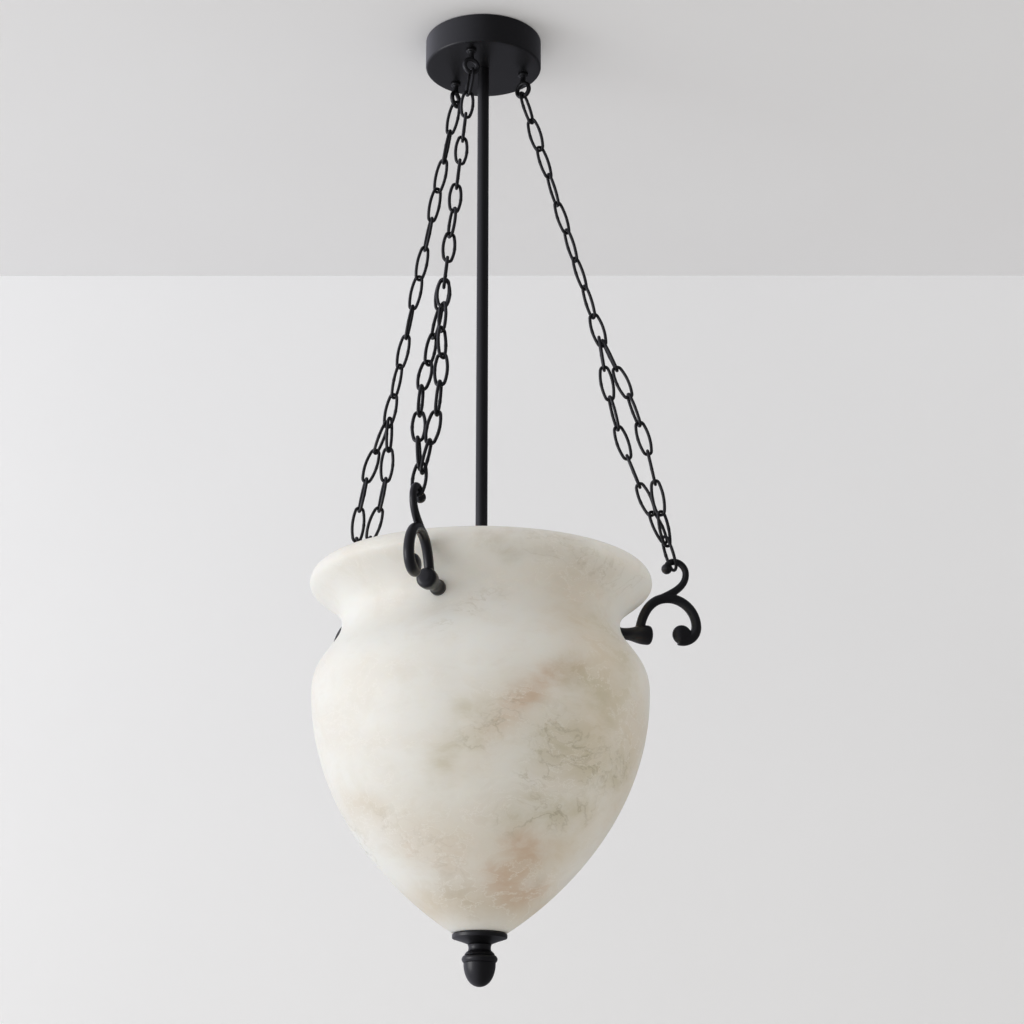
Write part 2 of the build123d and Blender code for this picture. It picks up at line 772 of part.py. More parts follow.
# Lamp holders on short arms round the hub, with their wires, screw shells and contacts
holder_x = hub_r + holder_gap
holder_floor_x = holder_x + holder_base
arm_end_x = holder_x + arm_engage
shell_r = cap_r + slip_gap
holder_bore_r = shell_r + shell_t + thread_gap
wire_hole_r = wire_r + slip_gap
contact_end_x = holder_floor_x + contact_t
along_lamps("holder_arms", cavity_r, arm_end_x - cavity_r, arm_tube_r, arm_bore_r)
along_lamps("holder_wires", wire_start, holder_floor_x - wire_start, wire_r)
along_lamps("holder_shells", holder_floor_x + shell_inset, shell_length, shell_r + shell_t, shell_r)
along_lamps("holder_contacts", holder_floor_x, contact_t, contact_r)
with BuildPart() as lamp_holders:
    for azimuth in lamp_azimuths:
        with BuildSketch(radial_plane(azimuth)):
            with BuildLine():
                Polyline(
                    (holder_x, lamp_z + arm_tube_r + thread_gap),
                    (holder_x, lamp_z + holder_r),
                    (holder_x + holder_length, lamp_z + holder_r),
                    (holder_x + holder_length, lamp_z + holder_bore_r),
                    (holder_floor_x, lamp_z + holder_bore_r),
                    (holder_floor_x, lamp_z + wire_hole_r),
                    (arm_end_x, lamp_z + wire_hole_r),
                    (arm_end_x, lamp_z + arm_tube_r + thread_gap),
                    close=True,
                )
            make_face()
        revolve(axis=radial_axis(azimuth, lamp_z))
save(lamp_holders, "lamp_holders")

# Globe bulbs: end contact, screw cap and frosted globe
tip_x = contact_end_x + slip_gap
cap_x = tip_x + tip_t
globe_x = cap_x + cap_length
globe_centre_x = globe_x + globe_out
for number, azimuth in enumerate(lamp_azimuths, start=1):
    plane = radial_plane(azimuth)
    axis = radial_axis(azimuth, lamp_z)
    with BuildPart() as bulb_contact:
        with BuildSketch(Plane(origin=radial(azimuth) * tip_x + Vector(0, 0, lamp_z), z_dir=radial(azimuth))):
            Circle(tip_r)
        extrude(amount=tip_t)
    save(bulb_contact, f"bulb_{number}_contact")
    with BuildPart() as bulb_cap:
        with BuildSketch(plane):
            with BuildLine():
                Polyline(
                    (cap_x, lamp_z),
                    (cap_x, lamp_z + cap_tip_r),
                    (cap_x + cap_taper, lamp_z + cap_r),
                    (globe_x, lamp_z + cap_r),
                    (globe_x, lamp_z),
                    close=True,
                )
            make_face()
        revolve(axis=axis)
    save(bulb_cap, f"bulb_{number}_cap")
    with BuildPart() as bulb_globe:
        with BuildSketch(plane):
            for radius, neck, mode in (
                (globe_r, globe_neck_r, Mode.ADD),
                (globe_r - globe_wall, globe_neck_r - globe_wall, Mode.SUBTRACT),
            ):
                with BuildLine():
                    meet = globe_centre_x - sqrt(radius**2 - neck**2)
                    top = (globe_centre_x + radius, lamp_z)
                    Polyline((globe_x, lamp_z), (globe_x, lamp_z + neck), (meet, lamp_z + neck))
                    ThreePointArc((meet, lamp_z + neck), (globe_centre_x, lamp_z + radius), top)
                    Line(top, (globe_x, lamp_z))
                make_face(mode=mode)
        revolve(axis=axis)
    save(bulb_globe, f"bulb_{number}_globe")

# Centre rod from the hub through the bowl, and what seats the bowl on it
hub_nut_top = hub_cap_top + rod_nut_h
plate_top_z = base_z - base_pad_t
finial_top_z = plate_top_z - finial_plate_h - slip_gap
rod_low_z = finial_top_z - rod_engage
with BuildPart() as centre_rod:
    with BuildSketch(Plane.XY.offset(rod_low_z)):
        Circle(rod_r)
    extrude(amount=hub_nut_top + rod_above_nut - rod_low_z)
save(centre_rod, "centre_rod")
seat_washer_z = floor_z + seat_pad_t
seat_nut_z = seat_washer_z + seat_washer_t
washer("bowl_seat_pad", seat_pad_r, rod_r + hole_gap, floor_z, seat_pad_t)
washer("bowl_seat_washer", seat_washer_r, rod_r + hole_gap, seat_washer_z, seat_washer_t)
hex_nut("bowl_seat_nut", rod_nut_af, rod_r + thread_gap, seat_nut_z, seat_nut_h)
washer("bowl_base_pad", base_pad_r, rod_r + hole_gap, plate_top_z, base_pad_t)

# Finial plate: a rimmed disc with a coned underside
with BuildPart() as finial_plate:
    with BuildSketch(radial_plane(0)):
        with BuildLine():
            Polyline(
                (rod_r + hole_gap, plate_top_z),
                (finial_plate_r, plate_top_z),
                (finial_plate_r, plate_top_z - finial_rim_h),
                (finial_neck_r, plate_top_z - finial_plate_h),
                (rod_r + hole_gap, plate_top_z - finial_plate_h),
                close=True,
            )
        make_face()
    revolve(axis=Axis.Z)
    rim_edges = finial_plate.edges().filter_by(GeomType.CIRCLE).sort_by(SortBy.RADIUS)[-2:]
    fillet(rim_edges, finial_rim_h / 5)
save(finial_plate, "finial_plate")

# Acorn finial, screwed onto the end of the rod
neck_low_z = finial_top_z - finial_neck_h
ring_low_z = neck_low_z - finial_ring_h
bead_low_z = ring_low_z - finial_groove - finial_bead_h
acorn_top_z = bead_low_z - finial_groove
acorn_low_z = acorn_top_z - acorn_h
finial_bore_z = rod_low_z - finial_bore_spare
with BuildPart() as finial:
    with BuildSketch(radial_plane(0)):
        with BuildLine():
            bore = Polyline(
                (0, finial_bore_z),
                (rod_r + thread_gap, finial_bore_z),
                (rod_r + thread_gap, finial_top_z),
                (finial_neck_r, finial_top_z),
            )
            neck = ThreePointArc(
                bore @ 1,
                (finial_waist_r, (finial_top_z + neck_low_z) / 2),
                (finial_neck_r, neck_low_z),
            )
            ring = ThreePointArc(
                neck @ 1,
                ((finial_neck_r + 2 * finial_ring_r) / 3, (neck_low_z + ring_low_z) / 2),
                (finial_ring_r, ring_low_z),
            )
            groove = Polyline(
                ring @ 1,
                (finial_ring_r - finial_groove, ring_low_z - finial_groove / 2),
                (finial_ring_r, ring_low_z - finial_groove),
            )
            bead = ThreePointArc(
                groove @ 1,
                (finial_bead_r, ring_low_z - finial_groove - finial_bead_h / 2),
                (finial_bead_edge_r, bead_low_z),
            )
            under = Polyline(
                bead @ 1,
                (acorn_r - finial_groove, bead_low_z - finial_groove / 2),
                (acorn_r, acorn_top_z),
            )
            acorn = Bezier(
                under @ 1,
                (acorn_r, acorn_top_z - acorn_h / 2),
                (acorn_r * 2 / 3, acorn_low_z),
                (0, acorn_low_z),
            )
            Line(acorn @ 1, bore @ 0)
        make_face()
    revolve(axis=Axis.Z)
save(finial, "finial")

print("chain reach", round(chain_reach, 2), "neck", round(neck_z, 2), "lowest", round(acorn_low_z, 2))
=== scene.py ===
# %% [markdown]
# # An alabaster bowl on chains
#
# The light is a turned alabaster urn that hangs from a black canopy. The CAD frame already holds every
# piece in its true place. This lesson gives each visible piece a finer surface and a finish of its own,
# and sets the camera where the photographer stood.

import bmesh
import bpy
import numpy as np
from mathutils import Matrix, Vector


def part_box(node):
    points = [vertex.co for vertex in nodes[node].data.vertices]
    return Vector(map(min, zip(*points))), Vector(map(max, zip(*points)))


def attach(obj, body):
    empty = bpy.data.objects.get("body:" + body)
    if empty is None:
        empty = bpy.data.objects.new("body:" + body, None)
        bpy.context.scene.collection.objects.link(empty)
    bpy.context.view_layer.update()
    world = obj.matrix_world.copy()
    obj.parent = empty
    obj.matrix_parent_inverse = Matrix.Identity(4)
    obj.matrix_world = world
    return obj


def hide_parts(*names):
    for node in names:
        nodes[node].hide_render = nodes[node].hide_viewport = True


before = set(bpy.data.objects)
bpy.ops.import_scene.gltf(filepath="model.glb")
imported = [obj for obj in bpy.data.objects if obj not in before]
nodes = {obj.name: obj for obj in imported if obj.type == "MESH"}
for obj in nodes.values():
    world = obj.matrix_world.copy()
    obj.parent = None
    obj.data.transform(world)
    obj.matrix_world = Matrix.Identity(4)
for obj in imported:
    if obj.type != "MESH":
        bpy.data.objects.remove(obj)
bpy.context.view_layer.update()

# %% [markdown]
# ## Where the camera stood
#
# The photo looks up at the light from a little over two metres away. The camera could be set by eye, but the
# outlines of the canopy, the lip, the neck and the finial give its place to about a pixel. The vertical stem
# leans by a pixel or two, so the camera stood slightly to the right of the axis. It is moved there, and its
# lens is not shifted.

# %% Camera
AZIMUTH, PITCH = np.radians(-13.8), np.radians(17.93)
BACK, ASIDE, BELOW = 2.298, 0.0322, 1.3012
LENS, SENSOR = 80.37, 36.0
right_way = np.array([np.cos(AZIMUTH), np.sin(AZIMUTH), 0.0])
ahead = np.array([-np.sin(AZIMUTH), np.cos(AZIMUTH), 0.0])
upright = np.array([0.0, 0.0, 1.0])
eye_point = -BACK * ahead + ASIDE * right_way - BELOW * upright
look = np.cos(PITCH) * ahead + np.sin(PITCH) * upright
overhead = -np.sin(PITCH) * ahead + np.cos(PITCH) * upright

camera = bpy.data.objects.new("camera", bpy.data.cameras.new("camera"))
camera.data.lens, camera.data.sensor_width = LENS, SENSOR
bpy.context.scene.collection.objects.link(camera)
axes = np.column_stack([right_way, overhead, -look, eye_point])
camera.matrix_world = Matrix(np.vstack([axes, [0, 0, 0, 1]]).tolist())
bpy.context.scene.camera = camera
bpy.context.scene.view_settings.view_transform = "Standard"
print("camera at", np.round(eye_point, 3))

# %% [markdown]
# ## Small helpers for finishes
#
# Colours are written as the hex values that a screen shows, and one function turns them into the linear
# values that the renderer needs. A second function adds a node, sets it and wires it in one line. Most small
# parts share one recipe, a tone and a gloss that drift together, so it is written once.


# %% Colour and nodes
MM = 0.001


def linear(code):
    """sRGB hex to linear red, green, blue and alpha: the standard curve with its straight foot."""
    value = np.array([int(code[i : i + 2], 16) for i in (1, 3, 5)]) / 255
    value = np.where(value <= 0.04045, value / 12.92, ((value + 0.055) / 1.055) ** 2.4)
    return (*value.tolist(), 1.0)


def add(tree, kind, inputs=None, **settings):
    """Adds one node, sets its properties and fills its sockets with values or links."""
    made = tree.nodes.new(kind)
    for key, value in settings.items():
        setattr(made, key, value)
    for key, value in (inputs or {}).items():
        if isinstance(value, bpy.types.NodeSocket):
            tree.links.new(value, made.inputs[key])
        else:
            made.inputs[key].default_value = value
    return made


def per_mm(size):
    """Noise scale, per metre, that makes its blotches about this many millimetres wide."""
    return 1000.0 / size


def new_finish(name, **sockets):
    """A material named for the real one, with the constant sockets of its shader set directly."""
    made = bpy.data.materials.new(name)
    made.use_nodes = True
    shader = made.node_tree.nodes["Principled BSDF"]
    for key, value in sockets.items():
        shader.inputs[key.replace("_", " ").title().replace("Ior", "IOR")].default_value = value
    return made, made.node_tree, shader


def drifting_finish(name, tones, gloss, patch, detail=4.0, **sockets):
    """Finish whose tone and roughness drift together over noise patches of a given size in mm."""
    made, tree, shader = new_finish(name, **sockets)
    place = add(tree, "ShaderNodeTexCoord").outputs["Object"]
    drift = {"Vector": place, "Scale": per_mm(patch), "Detail": detail}
    drift = add(tree, "ShaderNodeTexNoise", drift).outputs["Fac"]
    tone = {"Factor": drift, "A": linear(tones[0]), "B": linear(tones[1])}
    tone = add(tree, "ShaderNodeMix", tone, data_type="RGBA")
    rough = add(tree, "ShaderNodeMapRange", {"Value": drift, "To Min": gloss[0], "To Max": gloss[1]})
    tree.links.new(tone.outputs["Result"], shader.inputs["Base Color"])
    tree.links.new(rough.outputs["Result"], shader.inputs["Roughness"])
    print("finish:", name)
    return made


print("ivory in linear:", np.round(linear("#e9e6df"), 3))

# %% [markdown]
# ## Satin black powder coat
#
# The canopy, stem, chains, hooks and finial share one finish: steel and castings sprayed with black powder
# and baked. It is paint, not bare metal, so it has no metallic part. The spray leaves a fine orange peel and
# slightly uneven gloss, which spread the highlights. The peel is drawn coarser than the real 0.3 mm so that
# it shows at this distance.

# %% Black finish
black_coat = drifting_finish("black_powder_coat", ("#08080a", "#101013"), (0.30, 0.40), 45, 3.0, ior=1.5)
tree = black_coat.node_tree
place = add(tree, "ShaderNodeTexCoord").outputs["Object"]
peel = add(tree, "ShaderNodeTexNoise", {"Vector": place, "Scale": per_mm(0.9), "Detail": 2.0})
relief = {"Height": peel.outputs["Fac"], "Strength": 0.10, "Distance": 0.3 * MM}
relief = add(tree, "ShaderNodeBump", relief)
tree.links.new(relief.outputs["Normal"], tree.nodes["Principled BSDF"].inputs["Normal"])

# %% [markdown]
# ## Surfaces from formulas
#
# Nearly every piece is a profile turned round an axis or a circle carried along a path. Blender's Screw and
# Curve tools could make them too. Here each is worked out as one array of points, rows by columns, so that
# its formula can be read, and a grid of quads covers it.


# %% Grids to meshes
SAME_SPOT, SLIVER = 1e-7, 1e-8


def turned(profile, origin=(0, 0, 0), along=(0, 0, 1), steps=96, ripple=None):
    """Point(s, t) = origin + along * h(s) + r(s) * (cos t * u + sin t * v), for a profile with r and h rows
    in mm; ripple(h, t), if given, is added to the radius."""
    profile = np.asarray(profile, float)
    along = np.asarray(along, float) / np.linalg.norm(along)
    across = np.cross(along, [0.0, 0.0, 1.0] if abs(along[2]) < 0.9 else [0.0, 1.0, 0.0])
    across /= np.linalg.norm(across)
    third = np.cross(along, across)
    angle = np.linspace(0, 2 * np.pi, steps, endpoint=False)
    spoke = np.cos(angle)[:, None] * across + np.sin(angle)[:, None] * third
    radius = np.repeat(profile[:, :1], steps, axis=1)
    if ripple is not None:
        radius = radius + ripple(profile[:, 1:2], angle[None, :]) * (radius > 0.01)
    return np.asarray(origin, float) + profile[:, None, 1:2] * along + radius[..., None] * spoke[None]


def carried(path, radius, flat, sides=16):
    """Point(s, t) = path(s) + radius(s) * (cos t * side(s) + sin t * flat), for a path in a plane whose
    unit normal is flat; side(s) is square to the path and lies in the plane."""
    path = np.asarray(path, float)
    tangent = np.gradient(path, axis=0)
    tangent /= np.linalg.norm(tangent, axis=1, keepdims=True)
    side = np.cross(flat, tangent)
    angle = np.linspace(0, 2 * np.pi, sides, endpoint=False)
    ring = np.cos(angle)[None, :, None] * side[:, None] + np.sin(angle)[None, :, None] * np.asarray(flat)
    return path[:, None] + np.broadcast_to(radius, len(path))[:, None, None] * ring


def quads(rows, columns, closed_rows):
    """Index grid of quads; columns always close, rows only where asked."""
    i, j = np.meshgrid(np.arange(rows if closed_rows else rows - 1), np.arange(columns), indexing="ij")
    k, m = (i + 1) % rows, (j + 1) % columns
    corners = [i * columns + j, i * columns + m, k * columns + m, k * columns + j]
    return np.stack(corners, axis=-1).reshape(-1, 4)


def skin(name, grids, finish, body, replaced=(), slot=None, closed_rows=False, sharp=40):
    """Joins grids of points in mm into one closed mesh in metres, and lets it ride on its body."""
    faces, start = [], 0
    for grid in grids:
        faces.append(quads(grid.shape[0], grid.shape[1], closed_rows) + start)
        start += grid.shape[0] * grid.shape[1]
    points = np.concatenate([grid.reshape(-1, 3) for grid in grids]) * MM
    mesh = bpy.data.meshes.new(name)
    mesh.from_pydata(points, [], np.concatenate(faces))
    work = bmesh.new()
    work.from_mesh(mesh)
    bmesh.ops.remove_doubles(work, verts=work.verts, dist=SAME_SPOT)
    bmesh.ops.dissolve_degenerate(work, edges=work.edges, dist=SLIVER)
    bmesh.ops.recalc_face_normals(work, faces=work.faces)
    work.to_mesh(mesh)
    work.free()
    mesh.polygons.foreach_set("use_smooth", np.ones(len(mesh.polygons), bool))
    mesh.set_sharp_from_angle(angle=np.radians(sharp))
    mesh.materials.append(finish)
    piece = bpy.data.objects.new(name, mesh)
    bpy.context.scene.collection.objects.link(piece)
    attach(piece, body)
    if replaced:
        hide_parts(*replaced)
    print(name, len(mesh.polygons), "faces")
    return piece


def coated(name, grids, body, replaced=(), **how):
    """A skin in the black powder coat."""
    return skin(name, grids, black_coat, body, replaced, "black_powder_coat", **how)


# %% [markdown]
# ## Curves for profiles
#
# The bowl and the finial were drawn with Bezier curves and arcs. Blender's own curves could hold them, but
# the same few control points in numpy give the same outline, sampled as finely as each piece needs.


# %% Profile curves
def bezier(p0, p1, p2, p3, count=40):
    """Cubic Bezier: the four points weighted by (1-t)^3, 3(1-t)^2 t, 3(1-t) t^2 and t^3."""
    t = np.linspace(0, 1, count)[:, None]
    p0, p1, p2, p3 = (np.asarray(p, float) for p in (p0, p1, p2, p3))
    return (1 - t) ** 3 * p0 + 3 * (1 - t) ** 2 * t * p1 + 3 * (1 - t) * t**2 * p2 + t**3 * p3


def arc(centre, radius, first, last, count=20):
    """Circle arc: centre + radius * (cos a, sin a), for a in degrees from first to last."""
    a = np.radians(np.linspace(first, last, count))
    return np.asarray(centre, float) + radius * np.column_stack([np.cos(a), np.sin(a)])


def through(a, b, c, count=16):
    """Circle arc from a through b to c, from the circle that passes through all three."""
    a, b, c = (np.asarray(p, float) for p in (a, b, c))
    m = 2 * np.array([b - a, c - a])
    centre = np.linalg.solve(m, [b @ b - a @ a, c @ c - a @ a])
    radius = np.linalg.norm(a - centre)
    start, middle, end = (np.arctan2(*(p - centre)[::-1]) for p in (a, b, c))
    turn = (end - start) % (2 * np.pi)
    if (middle - start) % (2 * np.pi) > turn:
        turn -= 2 * np.pi
    angle = start + turn * np.linspace(0, 1, count)
    return centre + radius * np.column_stack([np.cos(angle), np.sin(angle)])


def joined(*runs):
    """Runs of points end to end, with the repeated meeting points dropped."""
    points = np.vstack([np.atleast_2d(np.asarray(run, float)) for run in runs])
    keep = np.r_[True, np.linalg.norm(np.diff(points, axis=0), axis=1) > 1e-6]
    return points[keep]


BASE_DOWN, HOOK_UP, LAMP_DOWN = 315.4, 3.0, 62.0
neck_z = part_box("bowl")[0].z / MM + BASE_DOWN
hook_z, base_z, lamp_z = neck_z + HOOK_UP, neck_z - BASE_DOWN, neck_z - LAMP_DOWN
print("neck of the bowl at", round(neck_z, 2), "mm")

# %% [markdown]
# ## Alabaster
#
# Alabaster is a soft, fine-grained gypsum stone. Light goes a few millimetres into it before it comes back,
# so it looks waxy and its shadows are soft. Most of it is ivory with faint clouds. Iron and clay were caught
# in thin seams when it formed: smoky brown streaks on the lip, peach bands, and olive crackle.
#
# Noise alone would put the seams anywhere, but they sit at known places on this bowl. Each is a short line
# given by azimuth and height from the neck, and the distance to that line makes a soft mask that is stored on
# the mesh. Noise in the material then breaks each mask into streaks and cracks. The broad warm tint is partly
# painted shade: it darkens the right side, away from the window, the lower bowl and a band round the base. A
# smoky patch at the front of the base is painted shade too.

# %% Bowl outline
LIP_R, LIP_UP, LIP_ROUND, LIP_INNER = 178.4, 43.6, 14.6, 10.0
NECK_R, BELLY_R, BELLY_DOWN, BASE_R = 144.3, 173.9, 70.0, 27.4
WALL, FLOOR_R, FLOOR_UP, ROD_HOLE = 11.0, 32.0, 16.0, 5.2
# Lengths of the Bezier handles at the base, below and above the belly, below and above the neck, at the lip
BASE_LEAD, UNDER_BELLY, OVER_BELLY = 53.5, 131.9, 33.8
UNDER_NECK, OVER_NECK, UNDER_LIP = 25.8, 22.5, 11.6
slope = np.radians(32.7)
lip_z, belly_z, floor_z = neck_z + LIP_UP, neck_z - BELLY_DOWN, base_z + FLOOR_UP
lip_top = (LIP_R - LIP_ROUND, lip_z + LIP_ROUND)
lip_inner = (lip_top[0] - LIP_INNER, lip_top[1] - LIP_INNER)


def bowl_side(inset, bottom, handle):
    """Two Bezier curves from a bottom point by the belly up to the neck, both moved in by inset."""
    lean = (bottom[0] + handle * np.cos(slope), bottom[1] + handle * np.sin(slope))
    belly = (BELLY_R - inset, belly_z)
    neck = (NECK_R - inset, neck_z)
    lower = bezier(bottom, lean, (belly[0], belly_z - UNDER_BELLY), belly, 90)
    upper = bezier(belly, (belly[0], belly_z + OVER_BELLY), (neck[0], neck_z - UNDER_NECK), neck, 36)
    return joined(lower, upper)


def lip_side(inset, rim, count):
    """Bezier curve from the neck, moved in by inset, up to a point on the rim."""
    neck = (NECK_R - inset, neck_z)
    return bezier(neck, (neck[0], neck_z + OVER_NECK), (rim[0], rim[1] - UNDER_LIP), rim, count)


outside = joined(
    (ROD_HOLE, base_z),
    bowl_side(0, (BASE_R, base_z), BASE_LEAD),
    lip_side(0, (LIP_R, lip_z), 36),
    arc((lip_top[0], lip_z), LIP_ROUND, 0, 90, 24),
    arc((lip_top[0], lip_inner[1]), LIP_INNER, 90, 180, 16),
)
inside = joined(
    lip_side(WALL, lip_inner, 30)[::-1],
    bowl_side(WALL, (FLOOR_R, floor_z), BASE_LEAD - WALL / 2)[::-1],
    (ROD_HOLE, floor_z),
)
bowl_profile = joined(outside, inside)
print("bowl outline points:", len(bowl_profile))

# %% Alabaster finish
scatter = {"subsurface_weight": 0.4, "subsurface_scale": 10 * MM}
alabaster, tree, shader = new_finish("honed_alabaster", ior=1.52, **scatter)
shader.inputs["Subsurface Radius"].default_value = (1.0, 0.82, 0.62)
place = add(tree, "ShaderNodeTexCoord").outputs["Object"]
warp = add(tree, "ShaderNodeTexNoise", {"Vector": place, "Scale": per_mm(70), "Detail": 2.0})
shift = add(tree, "ShaderNodeVectorMath", {0: warp.outputs["Color"], "Scale": 40 * MM}, operation="SCALE")
bent = add(tree, "ShaderNodeVectorMath", {0: place, 1: shift.outputs["Vector"]}, operation="ADD")
# The beds of the stone lie flat, so the pattern is squeezed in height
squeeze = {0: bent.outputs["Vector"], 1: (1.0, 1.0, 1.8)}
lying = add(tree, "ShaderNodeVectorMath", squeeze, operation="MULTIPLY").outputs["Vector"]
clouds = {"Vector": lying, "Scale": per_mm(95), "Detail": 4.0}
clouds = add(tree, "ShaderNodeTexNoise", clouds).outputs["Fac"]
wisps = {"Vector": lying, "Scale": per_mm(24), "Detail": 7.0, "Roughness": 0.62}
wisps = add(tree, "ShaderNodeTexNoise", wisps).outputs["Fac"]
cracks = {"Vector": lying, "Scale": per_mm(30), "Detail": 5.0, "Roughness": 0.58}
cracks = add(tree, "ShaderNodeTexNoise", cracks).outputs["Fac"]

# Smooth steps of a noise: the two noise values, and the two values that the step goes between
STEPS = {
    "drift": (clouds, 0.34, 0.70, 0.0, 1.0),
    "veil": (clouds, 0.42, 0.62, 0.05, 0.50),
    "mottle": (wisps, 0.30, 0.70, 0.30, 1.0),
    "even": (wisps, 0.30, 0.70, 0.62, 0.86),
    "haze": (wisps, 0.50, 0.75, 0.0, 0.16),
    "gloss": (wisps, 0.30, 0.70, 0.46, 0.58),
}
step = {}
for name, (noise, low, high, bottom, top) in STEPS.items():
    limits = {"Value": noise, "From Min": low, "From Max": high, "To Min": bottom, "To Max": top}
    made = add(tree, "ShaderNodeMapRange", limits, interpolation_type="SMOOTHSTEP")
    step[name] = made.outputs["Result"]


def hairlines(noise, width):
    """Thin lines where a noise crosses its middle value: 1 on the line, 0 at this difference from it."""
    away = add(tree, "ShaderNodeMath", {0: noise, 1: 0.5}, operation="SUBTRACT").outputs["Value"]
    away = add(tree, "ShaderNodeMath", {0: away}, operation="ABSOLUTE").outputs["Value"]
    limits = {"Value": away, "From Min": 0.0, "From Max": width, "To Min": 1.0, "To Max": 0.0}
    return add(tree, "ShaderNodeMapRange", limits, interpolation_type="SMOOTHSTEP").outputs["Result"]


# Tint of each kind of seam, and the step that breaks it up; the warm tint is partly painted shade
TINTS = {
    "warm_tint_and_shade": ("#d9cdb8", "even"),
    # Smoky tint: streaks on the lip, and a patch of painted shade at the front of the base
    "smoke_and_shade": ("#bdb3a0", "mottle"),
    "peach": ("#d4bba3", "mottle"),
    "olive": ("#cbc5ae", "mottle"),
}
layers = [("#dad4c8", [step["haze"]])]
for mark_name, (tint, broken) in TINTS.items():
    stored = add(tree, "ShaderNodeAttribute", attribute_name=mark_name).outputs["Fac"]
    layers.append((tint, [stored, step[broken]]))
stored = add(tree, "ShaderNodeAttribute", attribute_name="crackle").outputs["Fac"]
layers.append(("#a8a088", [hairlines(cracks, 0.038), stored, step["mottle"]]))
layers.append(("#f7f5f0", [hairlines(wisps, 0.016), step["veil"]]))

# Each layer's tint goes over the ones below by the product of its masks
ivory = {"Factor": step["drift"], "A": linear("#efefeb"), "B": linear("#eae7e0")}
colour = add(tree, "ShaderNodeMix", ivory, data_type="RGBA").outputs["Result"]
for tint, (mask, *others) in layers:
    for other in others:
        mask = add(tree, "ShaderNodeMath", {0: mask, 1: other}, operation="MULTIPLY").outputs["Value"]
    over = {"Factor": mask, "A": colour, "B": linear(tint)}
    colour = add(tree, "ShaderNodeMix", over, data_type="RGBA").outputs["Result"]
relief = add(tree, "ShaderNodeBump", {"Height": wisps, "Strength": 0.08, "Distance": 1 * MM})
tree.links.new(colour, shader.inputs["Base Color"])
tree.links.new(step["gloss"], shader.inputs["Roughness"])
tree.links.new(relief.outputs["Normal"], shader.inputs["Normal"])
print("finish:", alabaster.name, "layers:", len(layers))

# %% Seams and painted shade in this bowl
# Each seam or patch of painted shade: azimuth in degrees and height from the neck in mm, then its half-width
# in mm and its strength.
SEAMS_AND_SHADE = {
    "warm_tint_and_shade": [
        # Partly painted shade: the warm tint darkens the right side, away from the window, and the lower bowl
        ([(-62, -30), (-56, -60), (-60, -140)], 50, 0.95),
        ([(-88, -110), (-102, -146), (-112, -172)], 32, 0.5),
        ([(-128, -236), (-100, -246), (-70, -250), (-50, -220)], 46, 0.55),
        ([(-40, -120), (-30, -180)], 50, 0.7),
        ([(-80, -262), (-55, -245)], 32, 0.9),
        ([(40, -100), (70, -150), (110, -170)], 55, 0.7),
        ([(126, -60), (140, -140)], 45, 0.6),
        # Band round the base: painted shade, darker towards the bottom
        ([(-160, -292), (-120, -292), (-80, -292), (-40, -292), (0, -292)], 26, 0.9),
        ([(0, -292), (40, -292), (80, -292), (120, -292), (160, -292), (200, -292)], 26, 0.9),
        ([(-171, -196), (-158, -199), (-150, -206)], 16, 0.5),
    ],
    "smoke_and_shade": [
        ([(-93, 46), (-84, 42), (-76, 43), (-69, 34)], 17, 0.25),
        ([(-69, 34), (-60, 28), (-47, 27)], 10, 0.06),
        ([(-100, 44), (-93, 30)], 14, 0.35),
        ([(-57, -272), (-56, -276)], 6, 0.8),
        # Painted shade: a soft darker patch at the front of the base
        ([(-124, -282), (-112, -298)], 22, 0.4),
        ([(60, 40), (78, 30), (96, 38)], 15, 0.7),
        ([(130, -60), (142, -84), (150, -120)], 16, 0.5),
    ],
    "peach": [
        ([(-71, -80), (-80, -90), (-86, -108), (-92, -122)], 13, 0.85),
        ([(-92, -122), (-100, -140)], 12, 0.5),
        ([(-83, -242), (-74, -250), (-79, -266), (-92, -271), (-72, -286), (-54, -282)], 18, 0.9),
        ([(-140, -250), (-110, -256)], 24, 0.2),
        ([(20, -120), (36, -140), (50, -176)], 17, 0.8),
        ([(110, -210), (128, -226), (140, -250)], 20, 0.75),
    ],
    "olive": [
        ([(-108, -127), (-101, -134), (-106, -152), (-113, -161), (-117, -173)], 13, 0.55),
        ([(-112, -180), (-124, -196)], 14, 0.12),
        ([(-78, -150), (-67, -157), (-56, -165), (-41, -165)], 26, 0.8),
        ([(-88, -220), (-79, -210), (-71, -213), (-55, -213)], 18, 0.7),
        ([(-50, -23), (-46, -60), (-55, -118)], 22, 0.5),
        ([(-72, -86), (-60, -102)], 20, 0.8),
        ([(140, -110), (122, -130), (100, -128)], 20, 0.7),
        ([(70, -80), (62, -112)], 18, 0.6),
    ],
    "crackle": [
        ([(-78, -148), (-67, -157), (-56, -165), (-41, -165)], 24, 0.55),
        ([(-84, -184), (-76, -173)], 14, 0.5),
        ([(-92, -124), (-100, -140), (-106, -152)], 14, 0.5),
        ([(-84, 42), (-69, 36), (-47, 27), (-36, 30)], 16, 0.3),
        ([(-88, -220), (-71, -213), (-55, -213)], 18, 0.55),
        ([(-150, -220), (-138, -236), (-120, -256)], 24, 0.2),
        ([(-116, -40), (-100, -11)], 14, 0.3),
        ([(40, -60), (64, -100), (90, -110)], 26, 0.7),
        ([(120, -180), (150, -190), (170, -230)], 26, 0.6),
    ],
}
outer = outside[np.argsort(outside[:, 1])]


def on_bowl(azimuth, height):
    """Point on the outer surface in metres: the outline's radius at that height, turned to the azimuth."""
    a = np.radians(azimuth)
    z = neck_z + np.asarray(height, float)
    r = np.interp(z, outer[:, 1], outer[:, 0])
    return np.column_stack([r * np.cos(a), r * np.sin(a), z]) * MM


